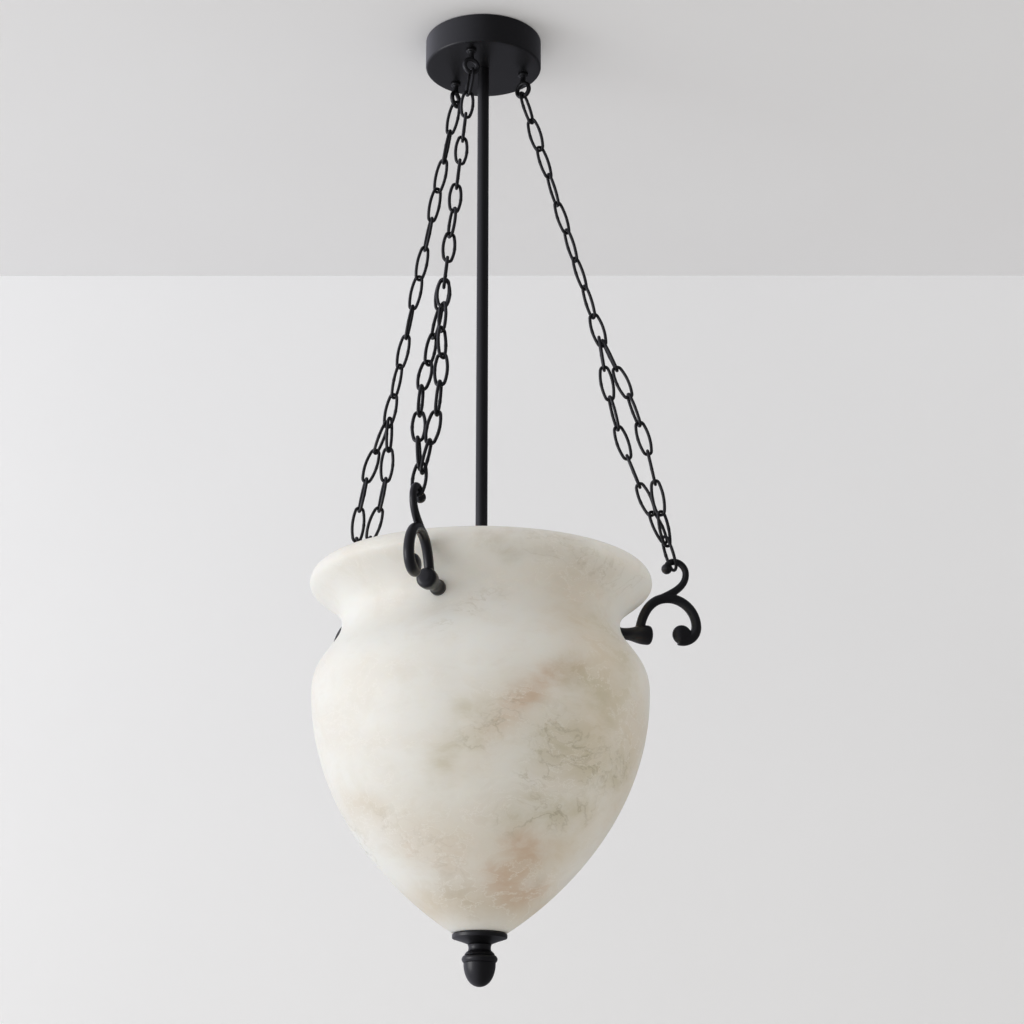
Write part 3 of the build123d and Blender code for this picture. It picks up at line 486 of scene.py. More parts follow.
def seam_and_shade_strength(points, mark_lines):
    """Largest of strength * exp(-(distance / half-width)^2) over all stretches of all lines, seams and
    painted shade alike.
    """
    best = np.zeros(len(points))
    for line_points, half_width, strength in mark_lines:
        corner = np.asarray(line_points, float)
        ends = on_bowl(corner[:, 0], corner[:, 1])
        for a, b in zip(ends[:-1], ends[1:]):
            t = np.clip((points - a) @ (b - a) / ((b - a) @ (b - a)), 0, 1)
            gap = np.linalg.norm(points - a - t[:, None] * (b - a), axis=1)
            best = np.maximum(best, strength * np.exp(-((gap / (half_width * MM)) ** 2)))
    return best


bowl = skin(
    "alabaster_bowl",
    [turned(bowl_profile, steps=256)],
    alabaster,
    "frame",
    ["bowl"],
    "alabaster",
    closed_rows=True,
    sharp=60,
)
bowl_points = np.empty(len(bowl.data.vertices) * 3)
bowl.data.vertices.foreach_get("co", bowl_points)
bowl_points = bowl_points.reshape(-1, 3)
for mark_name, mark_lines in SEAMS_AND_SHADE.items():
    stored = bowl.data.attributes.new(mark_name, "FLOAT", "POINT")
    stored.data.foreach_set("value", seam_and_shade_strength(bowl_points, mark_lines).astype(np.float32))
print("seams:", {name: len(mark_lines) for name, mark_lines in SEAMS_AND_SHADE.items()})

# %% [markdown]
# ## Canopy and stem
#
# The canopy is a spun steel cup with a small rounded edge, which catches the thin bright line in the photo.
# The stem is plain tube. A cylinder with a bevel would look much the same, but one closed outline turned
# round the axis holds the wall, the edge and the bore together.

# %% Canopy and stem
CANOPY_R, CANOPY_H, SHEET, EDGE = 64.8, 33.4, 2.0, 2.4
CANOPY_BORE, RIM_CUT = 5.05, 0.5
STEM_R, STEM_BORE = 6.35, 4.85
# Spare rows of points keep the shading of the flat faces flat beside the rounded edge
FLAT_ROWS, SIDE_ROWS, STEM_ROWS = (30, 56), (6 - CANOPY_H, -10), (-400, -120)
canopy_profile = joined(
    (CANOPY_BORE, -CANOPY_H),
    *((r, -CANOPY_H) for r in FLAT_ROWS),
    arc((CANOPY_R - EDGE, -CANOPY_H + EDGE), EDGE, -90, 0, 8),
    *((CANOPY_R, z) for z in SIDE_ROWS),
    (CANOPY_R, -RIM_CUT),
    (CANOPY_R - RIM_CUT, 0),
    (CANOPY_R - SHEET, 0),
    (CANOPY_R - SHEET, -CANOPY_H + SHEET),
    (CANOPY_BORE, -CANOPY_H + SHEET),
)
coated("spun_canopy", [turned(canopy_profile, steps=192)], "frame", ["canopy"], closed_rows=True)
stem_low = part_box("stem")[0].z / MM
stem_profile = joined(
    (STEM_BORE, stem_low),
    (STEM_R, stem_low),
    *((STEM_R, z) for z in STEM_ROWS),
    (STEM_R, -CANOPY_H),
    (STEM_BORE, -CANOPY_H),
)
coated("stem_tube", [turned(stem_profile, steps=64)], "frame", ["stem"], closed_rows=True)

# %% [markdown]
# ## Chains
#
# Each link is an oval of round wire with one small weld bead. A stretched torus would stretch the wire too,
# so the oval is four arcs that meet without a corner: two wide ones for the sides and two small ones for the
# ends. Single links hang in a row, then two rows hang side by side and bow apart, and one link closes them
# on the hook. Every link has its own turn about the chain, as slack chain has.

# %% Link oval
WIRE, INNER, WIDTH, END_R, GAP = 3.5, 34.7, 16.5, 4.6, 0.4
WELD_SWELL, WELD_HALF, WIRE_SIDES = 0.13, 1.6, 12
half_long, half_wide = (INNER + WIRE) / 2, (WIDTH - WIRE) / 2
end_at = half_long - END_R
side_r = (half_wide**2 + end_at**2 - END_R**2) / (2 * (half_wide - END_R))
side_at = side_r - half_wide
side_turn = np.degrees(np.arcsin((end_at + END_R * end_at / (side_r - END_R)) / side_r))
oval = joined(
    arc((-side_at, 0), side_r, -side_turn, side_turn, 26),
    arc((0, end_at), END_R, side_turn, 180 - side_turn, 13),
    arc((side_at, 0), side_r, 180 - side_turn, 180 + side_turn, 26),
    arc((0, -end_at), END_R, 180 + side_turn, 360 - side_turn, 13),
)[:-1]


def link_grid():
    """Wire carried round the oval: the radius swells by an eighth at the weld, half-way along one side."""
    flat = np.column_stack([oval, np.zeros(len(oval))])
    loop = np.vstack([flat[-1:], flat, flat[:1]])
    bead = 1 + WELD_SWELL * np.exp(-((flat[:, 1] / WELD_HALF) ** 2)) * (flat[:, 0] > 0)
    radius = WIRE / 2 * np.r_[1.0, bead, 1.0]
    return carried(loop, radius, upright, WIRE_SIDES)[1:-1]


one_link = link_grid()
print("link", one_link.shape, "wire", WIRE, "mm")

# %% Link places
EYE_R, EYE_RING, EYE_WIRE, EYE_DROP = 46.0, 8.0, 2.5, 20.1
ARM_IN, ARCH_UP, ARCH_R = 2.1, 12.5, 29.5
ARM_X = LIP_R - ARM_IN
ARCH_X = ARM_X + ARCH_R
CROOK_OUT, CROOK_RISE, CROOK_TURN, CROOK_BEND = 19.0, 58.0, 12.7, 8.5
CROOK_X = ARCH_X + CROOK_OUT - CROOK_TURN
CROOK_UP = ARCH_UP + CROOK_RISE + CROOK_TURN - CROOK_BEND
CONTACT = np.radians(106)
STRAND_SIDE, STRAND_ROOM, STAGGER, BOW = 1.6, 0.1, 4.6, 11.0
# Degrees that each link is turned about its chain: single links, the link on the hook, and the links of the
# two rows from the turn of their row
TURNS = {
    "right": [-40, 44, -24, 88, -22, 78, -32, 80, 12],
    "left": [-18, 50, -18, -86, 26, -86, -18, 50, -18, 72, -20],
    "front": [-43, 54, -20, 48, -20, 48, -46, 48, -20],
}
END_TURN = {"right": 72, "left": -72, "front": -101}
LEANS = {
    "right": np.array([90, -15, 60, -38, 60, -15, 90]),
    "left": np.array([90, -8, 72, -8, 90]),
    "front": np.array([90, -12, 68, -33, 68, -12, 90]),
}
HOOKS = {"right": 0.0, "left": 120.0, "front": 240.0}


def outwards(azimuth):
    """Level unit vector at an azimuth in degrees."""
    return np.array([np.cos(np.radians(azimuth)), np.sin(np.radians(azimuth)), 0.0])


def seat(room):
    """How far in from the link's end its wire is this far from the middle."""
    return half_long - np.sqrt(side_r**2 - (room + side_at) ** 2)


pitch = INNER - GAP
eye_low = -CANOPY_H - EYE_DROP - EYE_RING
contact_x = CROOK_X + CROOK_BEND * np.cos(CONTACT)
contact_z = hook_z + CROOK_UP + CROOK_BEND * np.sin(CONTACT)
eye_seat = EYE_WIRE + WIRE / 2 + GAP
strand_seat = seat(STRAND_SIDE + WIRE + STRAND_ROOM)
lead_step = np.sqrt(pitch**2 - (BOW * np.sin(np.pi / len(LEANS["right"]))) ** 2)


def strand_top(singles):
    """Distance down the chain to the start of the two rows, below a number of single links."""
    return (singles - 1) * pitch - eye_seat + 2 * half_long - strand_seat


strand_low = strand_top(len(TURNS["right"])) + len(LEANS["right"]) * lead_step
end_start = strand_low + WIRE + GAP - strand_seat - STAGGER


def chain_links(name):
    """Tops, bottoms and turns of the links in each group, on the straight line from the eye to the hook."""
    out = outwards(HOOKS[name])
    start = out * EYE_R + upright * eye_low
    along = out * contact_x + upright * contact_z - start
    along /= np.linalg.norm(along)
    across = np.cross(upright, out)
    normal = np.cross(across, along)
    first, last = TURNS[name][-1], END_TURN[name]

    def side(turn):
        """Unit vector across the chain: normal * cos turn + across * sin turn."""
        turn = np.radians(np.asarray(turn, float))[..., None]
        return normal * np.cos(turn) + across * np.sin(turn)

    def places(top, bottom, turn):
        """Links set between tops and bottoms: middle + one link's points on its own three axes."""
        way = (bottom - top) / np.linalg.norm(bottom - top, axis=1, keepdims=True)
        flat = side(turn)
        flat = flat - way * (flat * way).sum(1, keepdims=True)
        flat /= np.linalg.norm(flat, axis=1, keepdims=True)
        axes = np.stack([flat, way, np.cross(flat, way)], axis=1)
        return np.einsum("rcj,kji->krci", one_link, axes) + ((top + bottom) / 2)[:, None, None]

    def on_line(distance):
        """Point down the chain: start + distance * along."""
        return start + np.asarray(distance, float)[:, None] * along

    singles = np.arange(len(TURNS[name])) * pitch - eye_seat
    groups = {"upper_links": places(on_line(singles), on_line(singles + 2 * half_long), TURNS[name])}
    count = len(LEANS[name])
    start_at = strand_top(len(TURNS[name]))
    stride = (strand_low - start_at) / count
    bow = np.sqrt(pitch**2 - stride**2) / np.sin(np.pi / count)
    share = np.arange(count + 1) / count
    for strand, hand in (("inner_strand", -1), ("outer_strand", 1)):
        middle = start_at - STAGGER * (hand > 0) + (WIRE + GAP) / 2 + stride * np.arange(count + 1)
        offset = hand * (STRAND_SIDE + bow * np.sin(np.pi * share))
        joints = on_line(middle) + side(first + (last - first) * share) * offset[:, None]
        lean = first + (last - first) * (share[:-1] + 0.5 / count) + LEANS[name]
        groups[strand] = places(joints[:-1], joints[1:], lean)
    end = np.array([end_start])
    groups["hook_link"] = places(on_line(end), on_line(end + 2 * half_long), np.array([last]))
    return groups


for name in HOOKS:
    for group, grids in chain_links(name).items():
        node = f"chain_{name}_{group}"
        coated(f"{name}_{group}_wire", list(grids), f"chain_{name}", [node], closed_rows=True, sharp=70)

# %% [markdown]
# ## Eye bolts
#
# Each chain hangs from an eye bolt: a domed collar against the canopy, a short neck and a ring. The ring
# could be a ready-made torus, but wire carried round a circle stands square to the first link from the start.

# %% Eye bolts
SHANK_R, SHANK_TOP, COLLAR_R = 3.0, -15, 5.6
eye_z = -CANOPY_H - EYE_DROP
dome = bezier((COLLAR_R, -1.6), (COLLAR_R, -3.0), (4.4, -3.2), (3.4, -3.4), 10)
collar = joined(
    (0, SHANK_TOP),
    (SHANK_R, SHANK_TOP),
    (SHANK_R, -CANOPY_H),
    (COLLAR_R - 0.4, -CANOPY_H),
    (COLLAR_R, -CANOPY_H - 0.4),
    dome - (0, CANOPY_H),
    bezier((SHANK_R, -CANOPY_H - 4.6), (2.9, -CANOPY_H - 7), (2.9, eye_z + 11), (3.6, eye_z + 8.6), 10),
    (0, eye_z + EYE_RING),
)
shanks, rings = [], []
for name, azimuth in HOOKS.items():
    centre = outwards(azimuth) * EYE_R
    shanks.append(turned(collar, centre, steps=32))
    flat = outwards(azimuth - TURNS[name][0])
    ring = arc((0, 0), EYE_RING, 0, 360, 57)
    path = centre + upright * eye_z + ring[:, :1] * np.cross(upright, flat) + ring[:, 1:] * upright
    loop = np.vstack([path[-2:-1], path])
    rings.append(carried(loop, EYE_WIRE, flat, 18)[1:-1])
coated("eye_bolt_shanks", shanks, "frame", ["eye_bolts"])
coated("eye_bolt_rings", rings, "frame", closed_rows=True, sharp=70)

# %% [markdown]
# ## Scroll hooks
#
# Each hook is a casting: a trumpet foot bolted to the stone, an arched arm that ends in a scroll, and a crook
# that carries the chain. Boolean unions would leave hard corners where these meet. So the parts are made as
# separate tubes and turned shapes, a fine voxel remesh fuses them, and smoothing rounds the inner corners as
# a foundry would.

# %% Hook values
FOOT_R, FOOT_EDGE, WAIST_R, BELL_R = 8.1, 2.5, 6.2, 10.4
FOOT_OUT, WAIST_OUT, BELL_LONG, END_OUT = 0.6, 8.0, 5.0, 9.1
ROOT_IN, LEAD_IN, LEAD_UP, ARCH_LEAD = 5.0, 2.5, 20, 23
CURL_R, CURL_TURN = 16.0, 104
CROOK_FROM, CROOK_LEAD, CROOK_FALL = 120, 18.0, 16.0
BUN_OUT, BUN_DOWN, BUN_R, BUN_HALF, TIP_R = 13.2, 9.7, 10.6, 6.8, 5.8
# Bar radius at the start of the arm, scroll and crook, and by how much it changes along each
ARM_BAR, ARM_GROWS, CURL_BAR, CURL_GROWS, CROOK_BAR, CROOK_THINS = 5.0, 0.3, 5.3, 0.5, 4.6, 1.0
THIN_PACE = 2.2
VOXEL, SMOOTH_PASSES = 0.55, 4
print("hook crook at", round(CROOK_X, 1), "mm from the axis")


# %% Hook form
def closed_ends(grid):
    """Adds the middle of each end ring as a last row, which shuts a tube."""
    first = np.repeat(grid[:1].mean(1, keepdims=True), grid.shape[1], axis=1)
    last = np.repeat(grid[-1:].mean(1, keepdims=True), grid.shape[1], axis=1)
    return np.concatenate([first, grid, last])


def crook_line():
    """The crook's middle line: it leaves the arch along its tangent, rises, and bends over to its tip."""
    turn = np.radians(CROOK_FROM)
    root = np.array([ARCH_X + ARCH_R * np.cos(turn), ARCH_UP + ARCH_R * np.sin(turn)])
    lead = root + CROOK_LEAD * np.array([np.sin(turn), -np.cos(turn)])
    shoulder = np.array([ARCH_X + CROOK_OUT, ARCH_UP + CROOK_RISE])
    return joined(
        bezier(root, lead, shoulder - (0, CROOK_FALL), shoulder, 40),
        arc((CROOK_X, ARCH_UP + CROOK_RISE), CROOK_TURN, 0, 90, 24),
        arc((CROOK_X, CROOK_UP), CROOK_BEND, 90, 180, 24),
    )


def foot_outline():
    """Trumpet outline as radius and distance from the axis: a flat face, a waist and a round-ended bell."""
    foot_x, end_x = NECK_R + FOOT_OUT, ARM_X + END_OUT
    bell_x, waist_x = end_x - BELL_LONG, foot_x + WAIST_OUT
    mid_x = (waist_x + bell_x) / 2
    edge_x = foot_x + FOOT_EDGE
    return joined(
        (0, foot_x),
        (FOOT_R, foot_x),
        (FOOT_R, edge_x),
        bezier((FOOT_R, edge_x), (7.6, foot_x + 4.6), (WAIST_R, waist_x - 3), (WAIST_R, waist_x), 10),
        bezier((WAIST_R, waist_x), (WAIST_R, mid_x), (BELL_R, mid_x), (BELL_R, bell_x), 24),
        bezier((BELL_R, bell_x), (BELL_R, end_x), (BELL_R / 2, end_x), (0, end_x), 16),
    )


def hook_grids(name):
    """Foot, arm, scroll with its bun, crook and ball, in the upright plane through the hook's azimuth."""
    out = outwards(HOOKS[name])
    flat = np.cross(out, upright)

    def spot(x, z):
        """Point in the hook's plane: x out from the axis and z above the hook's level."""
        return out * x + upright * (hook_z + z)

    def bar(points, start, change):
        """Closed tube along points in the hook's plane, of radius start + change."""
        lifted = points[:, :1] * out + (points[:, 1:] + hook_z) * upright
        return closed_ends(carried(lifted, start + change, flat, 28))

    arch_top = (ARCH_X, ARCH_UP + ARCH_R)
    root, lead = (ARM_X - ROOT_IN, 0), (ARM_X - LEAD_IN, LEAD_UP)
    leg = bezier(root, lead, (ARCH_X - ARCH_LEAD, arch_top[1]), arch_top, 40)
    arm = joined(leg, arc((ARCH_X, ARCH_UP), ARCH_R, 90, 0, 30))
    curl_x = ARCH_X + ARCH_R - CURL_R
    curl = joined(arm[-6:], arc((curl_x, ARCH_UP), CURL_R, 0, -CURL_TURN, 30))
    crook = crook_line()
    along_arm, along_curl, along_crook = (np.linspace(0, 1, len(line)) for line in (arm, curl, crook))
    half_round = arc((0, 0), 1.0, -90, 90, 25)
    tip = arc((0, 0), TIP_R, -90, 90, 25)
    return [
        turned(foot_outline(), upright * hook_z, out, steps=56),
        bar(arm, ARM_BAR, ARM_GROWS * along_arm),
        bar(curl, CURL_BAR, CURL_GROWS * along_curl),
        bar(crook, CROOK_BAR, -CROOK_THINS * np.minimum(1, along_crook * THIN_PACE)),
        turned(half_round * (BUN_R, BUN_HALF), spot(ARCH_X + BUN_OUT, ARCH_UP - BUN_DOWN), flat, steps=40),
        turned(tip, spot(CROOK_X - CROOK_BEND, CROOK_UP), steps=40),
    ]


def fused(piece, voxel, passes):
    """Voxel remesh and smoothing, applied to the piece's mesh."""
    remesh = piece.modifiers.new("fuse", "REMESH")
    remesh.mode, remesh.voxel_size, remesh.use_smooth_shade = "VOXEL", voxel * MM, True
    smooth = piece.modifiers.new("soften", "SMOOTH")
    smooth.factor, smooth.iterations = 0.5, passes
    view = bpy.context.evaluated_depsgraph_get()
    made = bpy.data.meshes.new_from_object(piece.evaluated_get(view))
    piece.modifiers.clear()
    old, piece.data = piece.data, made
    bpy.data.meshes.remove(old)
    print(piece.name, len(made.polygons), "faces after fusing")


for name in HOOKS:
    hook = coated(f"scroll_hook_{name}_casting", hook_grids(name), "frame", [f"scroll_hook_{name}"])
    fused(hook, VOXEL, SMOOTH_PASSES)

# %% [markdown]
# ## Finial
#
# Under the bowl sits a dished plate, and below it an acorn on a short neck with a ring and a bead. Stacked
# balls and rings would show a seam at each meeting, so both are turned from one outline each, as on a lathe.
# The outlines give radius and height from the piece's own top.

# %% Finial
PAD, PLATE_H, PLATE_GAP = 1.0, 10.0, 0.3
NECK_H, RING_H, BEAD_H, ACORN_H, GROOVE = 6.4, 3.8, 7.0, 23.3, 0.5
STUD_R, STUD_DEEP, COLLAR_TOP_R, ACORN_R = 5.05, 14.0, 11.9, 16.1
plate_outline = joined(
    (ROD_HOLE, 0),
    (27.0, 0),
    arc((26.8, -0.9), 0.9, 90, 0, 8),
    arc((26.6, -3.4), 1.1, 0, -70, 8),
    bezier((26.9, -4.45), (22, -6.0), (16, -8.0), (COLLAR_TOP_R, -PLATE_H), 16),
    (ROD_HOLE, -PLATE_H),
)
neck_low = -NECK_H
ring_low = neck_low - RING_H
bead_low = ring_low - GROOVE - BEAD_H
acorn_top = bead_low - GROOVE
acorn_low = acorn_top - ACORN_H
finial_outline = joined(
    (0, -STUD_DEEP),
    (STUD_R, -STUD_DEEP),
    (STUD_R, 0),
    (COLLAR_TOP_R - 0.5, 0),
    (COLLAR_TOP_R, -0.4),
    through((COLLAR_TOP_R, -0.5), (11.2, neck_low / 2), (COLLAR_TOP_R, neck_low), 14),
    through((COLLAR_TOP_R, neck_low), (14.1, (neck_low + ring_low) / 2), (15.2, ring_low), 14),
    (14.7, ring_low - GROOVE / 2),
    through((15.2, ring_low - GROOVE), (17.9, ring_low - 4.0), (16.2, bead_low), 22),
    (15.5, bead_low - GROOVE / 2),
    bezier((ACORN_R, acorn_top), (ACORN_R, acorn_top - ACORN_H / 2), (10.73, acorn_low), (0, acorn_low), 40),
)
plate_at = upright * (base_z - PAD)
acorn_at = plate_at - upright * (PLATE_H + PLATE_GAP)
dish = turned(plate_outline, plate_at, steps=128)
coated("finial_dish", [dish], "finial_seat", ["finial_plate"], closed_rows=True)
coated("acorn_finial", [turned(finial_outline, acorn_at, steps=128)], "finial", ["finial"])

# %% [markdown]
# ## Lamps inside the bowl
#
# From above, the three globe bulbs show in their porcelain holders. A thread could be a wire wound round the
# screw cap, at the price of many faces. Here the cap is a turned shape whose radius swells in a helix: the
# ripple depends on height and on the angle together.

# %% Lamp finishes
# Glazed porcelain: a clean white with a clear shine
porcelain = drifting_finish("white_porcelain", ("#f1efea", "#e4e1d9"), (0.22, 0.36), 7, ior=1.55)
# Etched glass: milky, because light spreads inside it
scatter = {"subsurface_weight": 0.3, "subsurface_scale": 4 * MM}
frosted = drifting_finish("frosted_glass", ("#f4f2ec", "#ebe8e0"), (0.30, 0.42), 3, 3.0, ior=1.5, **scatter)
# Rolled brass: warm yellow with a soft shine
brass = drifting_finish("rolled_brass", ("#b08d4a", "#cfae68"), (0.22, 0.36), 6, metallic=1.0)
# Bronzed brass: the same metal stained dark brown, with a duller shine
bronze = drifting_finish("bronzed_brass", ("#4a3a24", "#6a5434"), (0.34, 0.5), 9, metallic=1.0)
# Zinc plate: pale grey with a cloudy shine
zinc = drifting_finish("zinc_plated_steel", ("#a9abad", "#c6c8c9"), (0.26, 0.42), 5, metallic=1.0)
# Moulded rubber: black and almost without shine
rubber = drifting_finish("black_rubber", ("#1c1c1c", "#262626"), (0.7, 0.85), 4)
# Moulded polyamide: milky white with a dull shine
plastic = drifting_finish("white_polyamide", ("#dcdbd6", "#e9e8e3"), (0.4, 0.55), 8)
# Drawn PVC: dark grey with a dull shine
sheath = drifting_finish("grey_pvc_sheath", ("#2c2c2d", "#363637"), (0.45, 0.6), 8)

# %% Bulbs and holders
LAMPS = {1: 60.0, 2: 180.0, 3: 300.0}
CAP_X, CAP_R, GLOBE_X = 37.0, 13.1, 59.0
GLOBE_AT, GLOBE_R, GLOBE_NECK = 83.0, 22.5, 12.3
THREAD, THREAD_HALF, THREAD_FADE = 3.629, 0.35, 2
THREAD_FROM, THREAD_TO = CAP_X + 3.5, GLOBE_X - 2.5
HOLDER_R, HOLDER_BORE, ARM_BORE = 19.5, 14.25, 5.05


def thread(height, angle):
    """Rounded screw thread: a cosine of height over pitch less the angle, fading out at both cap ends."""
    run_in = np.clip((height - THREAD_FROM) / THREAD_FADE, 0, 1)
    run_out = np.clip((THREAD_TO - height) / THREAD_FADE, 0, 1)
    return THREAD_HALF * run_in * run_out * (np.cos(2 * np.pi * height / THREAD - angle) - 1)


# Outlines as radius and distance from the light's axis
cap = joined(
    (0, CAP_X),
    (6.5, CAP_X),
    (CAP_R, CAP_X + 2.5),
    np.column_stack([np.full(60, CAP_R), np.linspace(CAP_X + 3, GLOBE_X - 1, 60)]),
    (12.7, GLOBE_X),
    (0, GLOBE_X),
)
neck_turn = np.degrees(np.arcsin(GLOBE_NECK / GLOBE_R))
shell = arc((GLOBE_AT, 0), GLOBE_R, 180 - neck_turn, 0, 60)
globe = joined((0, GLOBE_X), (GLOBE_NECK, GLOBE_X), shell[:, ::-1])
holder = joined(
    (ARM_BORE, 26),
    (18.3, 26),
    (HOLDER_R, 27.2),
    (HOLDER_R, 36),
    (18.7, 36.8),
    (18.7, 38.4),
    (HOLDER_R, 39.2),
    (HOLDER_R, 62.8),
    (18.6, 64),
    (14.9, 64),
    (HOLDER_BORE, 63.4),
    (HOLDER_BORE, 34),
    (ARM_BORE, 34),
)
middle = upright * lamp_z
for number, azimuth in LAMPS.items():
    bulb, out = f"bulb_{number}", outwards(azimuth)
    cap_grid, globe_grid = turned(cap, middle, out, 64, thread), turned(globe, middle, out, 72)
    skin(f"{bulb}_screw_cap", [cap_grid], brass, bulb, [f"{bulb}_cap"], "brass")
    skin(f"{bulb}_frosted_globe", [globe_grid], frosted, bulb, [f"{bulb}_globe"], "frosted_glass")
holders = [turned(holder, middle, outwards(azimuth), 72) for azimuth in LAMPS.values()]
skin("porcelain_holders", holders, porcelain, "frame", ["lamp_holders"], "white_porcelain", closed_rows=True)

# %% [markdown]
# ## The pieces that keep their CAD shape
#
# Nuts, washers, pads, wires and the ceiling plate are exact as they are. Making them again would add nothing
# that shows, so they only take a finish.

# %% Finishes for CAD pieces
KEPT = {
    zinc: [
        *("ceiling_plate", "canopy_grub_screws", "earth_screw", "eye_bolt_washers", "eye_bolt_nuts"),
        *("stem_nipple", "stem_lock_washer", "stem_lock_nut", "hub_nut", "hub_cap", "centre_rod"),
        *("bowl_seat_washer", "bowl_seat_nut", "hook_washers", "hook_screws"),
    ],
    bronze: ["lamp_hub", "holder_arms"],
    brass: ["holder_shells", "holder_contacts", *(f"bulb_{number}_contact" for number in LAMPS)],
    plastic: ["terminal_block"],
    sheath: ["lamp_lead", "holder_wires"],
    rubber: ["hook_pads", "bowl_seat_pad", "bowl_base_pad"],
}
for finish, names in KEPT.items():
    for name in names:
        nodes[name].data.materials.clear()
        nodes[name].data.materials.append(finish)
print("kept CAD pieces:", sum(len(names) for names in KEPT.values()))

# %% [markdown]
# ## The room
#
# The photo shows a pale wall that meets a pale ceiling behind the light. A painted backdrop would slide as
# the camera moves, so both are real sheets. They can be seen only from inside the room, so the light can be
# looked at from every side. A soft window light comes from the left, and the rest of the room fills the
# shadows.


# %% Wall and ceiling
def wall_paint(name, dark, light, glow):
    """Matt paint with a faint glow of its own, on the front of a sheet; the sheet is clear from behind, to
    shadows and to mirroring."""
    made = bpy.data.materials.new(name)
    made.use_nodes = True
    tree = made.node_tree
    tree.nodes.clear()
    place = add(tree, "ShaderNodeTexCoord").outputs["Object"]
    mottle = add(tree, "ShaderNodeTexNoise", {"Vector": place, "Scale": per_mm(400), "Detail": 2.0})
    tone = {"Factor": mottle.outputs["Fac"], "A": linear(dark), "B": linear(light)}
    tone = add(tree, "ShaderNodeMix", tone, data_type="RGBA").outputs["Result"]
    matt = add(tree, "ShaderNodeBsdfDiffuse", {"Color": tone}).outputs["BSDF"]
    lift = add(tree, "ShaderNodeEmission", {"Color": tone, "Strength": glow}).outputs["Emission"]
    lit = add(tree, "ShaderNodeAddShader", {0: matt, 1: lift}).outputs["Shader"]
    clear = add(tree, "ShaderNodeBsdfTransparent").outputs["BSDF"]
    behind = add(tree, "ShaderNodeNewGeometry").outputs["Backfacing"]
    path = add(tree, "ShaderNodeLightPath")
    hidden = {0: path.outputs["Is Shadow Ray"], 1: path.outputs["Is Glossy Ray"]}
    hidden = add(tree, "ShaderNodeMath", hidden, operation="MAXIMUM").outputs["Value"]
    unseen = add(tree, "ShaderNodeMath", {0: behind, 1: hidden}, operation="MAXIMUM").outputs["Value"]
    sheet = add(tree, "ShaderNodeMixShader", {"Fac": unseen, 1: lit, 2: clear})
    add(tree, "ShaderNodeOutputMaterial", {"Surface": sheet.outputs["Shader"]})
    return made


def room_sheet(name, centre, across, up, width, height, paint):
    """Flat sheet: centre +- across * width / 2 +- up * height / 2; it faces across x up."""
    corners = [(-0.5, -0.5), (0.5, -0.5), (0.5, 0.5), (-0.5, 0.5)]
    points = [centre + across * width * a + up * height * b for a, b in corners]
    mesh = bpy.data.meshes.new(name)
    mesh.from_pydata([p.tolist() for p in points], [], [(0, 1, 2, 3)])
    mesh.materials.append(paint)
    made = bpy.data.objects.new(name, mesh)
    bpy.context.scene.collection.objects.link(made)
    print("room sheet:", name)


WALL_BEHIND, ROOM, WALL_H, CEILING_GAP = 0.649, 8.0, 4.0, 0.6 * MM
wall_at = ahead * WALL_BEHIND - upright * WALL_H / 2
wall_way = wall_paint("matt_wall_paint", "#eaebee", "#eeeff2", 0.15)
room_sheet("wall", wall_at, right_way, upright, ROOM, WALL_H, wall_way)
ceiling_at = ahead * (WALL_BEHIND - ROOM / 2) + upright * CEILING_GAP
ceiling_way = wall_paint("matt_ceiling_paint", "#ebebee", "#eeeff2", 0.035)
room_sheet("ceiling", ceiling_at, right_way, -ahead, ROOM, ROOM, ceiling_way)

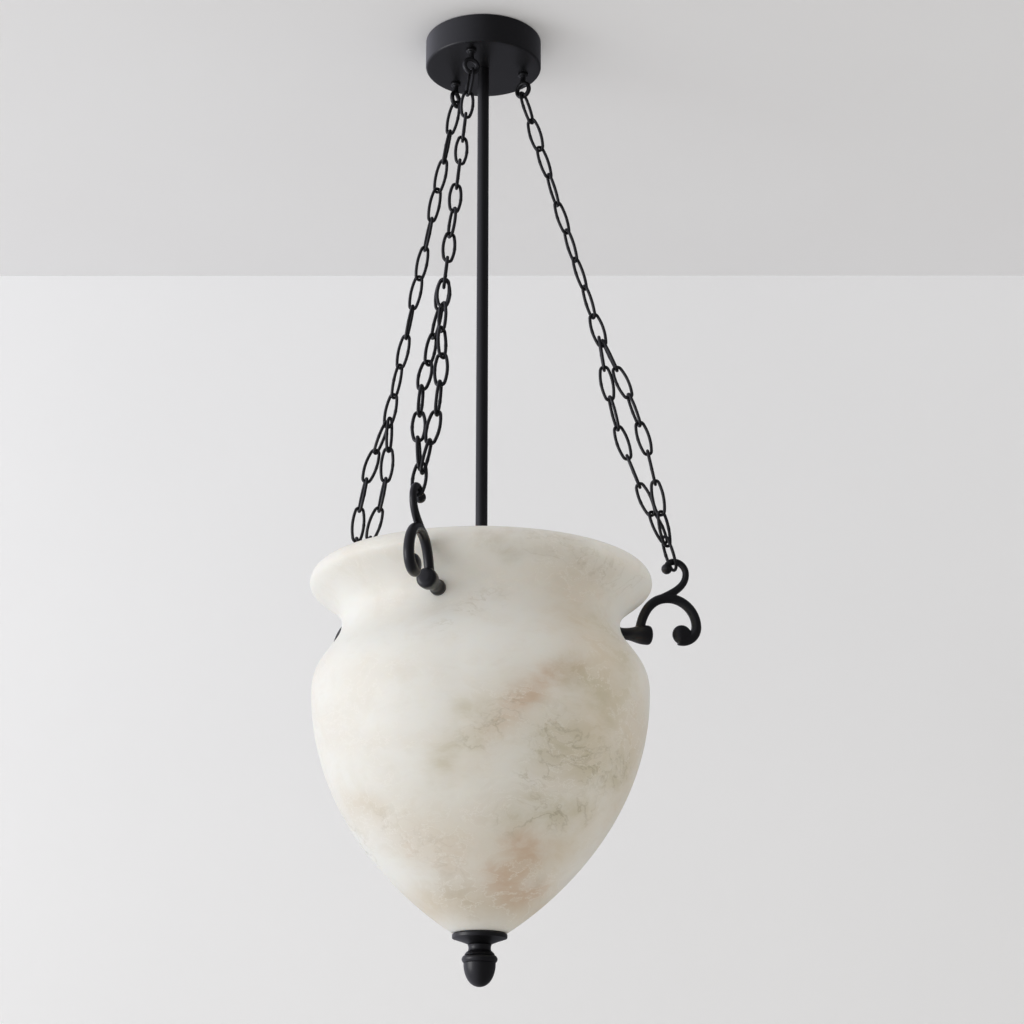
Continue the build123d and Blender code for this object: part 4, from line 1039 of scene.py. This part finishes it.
# %% Window light
WINDOW, WATTS, LEFT, NEAR, LOW = 1.5, 24.0, 2.6, 0.9, 0.1
target = upright * -0.75
window_at = target - right_way * LEFT - ahead * NEAR - upright * LOW
window = bpy.data.objects.new("window_light", bpy.data.lights.new("window_light", "AREA"))
window.data.shape, window.data.energy = "RECTANGLE", WATTS
window.data.size = window.data.size_y = WINDOW
window.location = Vector(window_at)
window.rotation_euler = (Vector(target) - Vector(window_at)).to_track_quat("-Z", "Y").to_euler()
bpy.context.scene.collection.objects.link(window)
print("window at", np.round(window_at, 2))

# %% Light of the room
world = bpy.data.worlds.new("room_air")
bpy.context.scene.world = world
world.use_nodes = True
tree = world.node_tree
tree.nodes.clear()
path = add(tree, "ShaderNodeLightPath")
seen = {0: path.outputs["Is Camera Ray"], 1: path.outputs["Is Transmission Ray"]}
seen = add(tree, "ShaderNodeMath", seen, operation="MAXIMUM").outputs["Value"]
way = {0: add(tree, "ShaderNodeTexCoord").outputs["Generated"], 1: tuple(-right_way)}
leftward = add(tree, "ShaderNodeVectorMath", way, operation="DOT_PRODUCT").outputs["Value"]
side = {"Value": leftward, "From Min": -1.0, "From Max": 1.0}
fill = add(tree, "ShaderNodeMapRange", side | {"To Min": 0.48, "To Max": 0.68}).outputs["Result"]
warmth = add(tree, "ShaderNodeMapRange", side | {"To Min": 1.0, "To Max": 0.0}).outputs["Result"]
# Black pieces mirror a room that is dimmer and bluer than the light it sends
side = {"Value": leftward, "From Min": -0.3, "From Max": 1.0, "To Min": 0.14, "To Max": 1.0}
mirrored = add(tree, "ShaderNodeMapRange", side, interpolation_type="SMOOTHSTEP").outputs["Result"]
glossy = path.outputs["Is Glossy Ray"]
level = add(tree, "ShaderNodeMix", {"Factor": glossy, "A": fill, "B": mirrored}).outputs["Result"]
shade = {"Factor": warmth, "A": linear("#ffffff"), "B": linear("#fff7e8")}
shade = add(tree, "ShaderNodeMix", shade, data_type="RGBA").outputs["Result"]
tint = {"Factor": glossy, "A": shade, "B": linear("#f0f0ff")}
tint = add(tree, "ShaderNodeMix", tint, data_type="RGBA").outputs["Result"]
air = add(tree, "ShaderNodeBackground", {"Color": tint, "Strength": level}).outputs["Background"]
backdrop = {"Color": linear("#e2e2e3"), "Strength": 1.0}
backdrop = add(tree, "ShaderNodeBackground", backdrop).outputs["Background"]
either = add(tree, "ShaderNodeMixShader", {"Fac": seen, 1: air, 2: backdrop})
add(tree, "ShaderNodeOutputWorld", {"Surface": either.outputs["Shader"]})
print("world:", world.name)
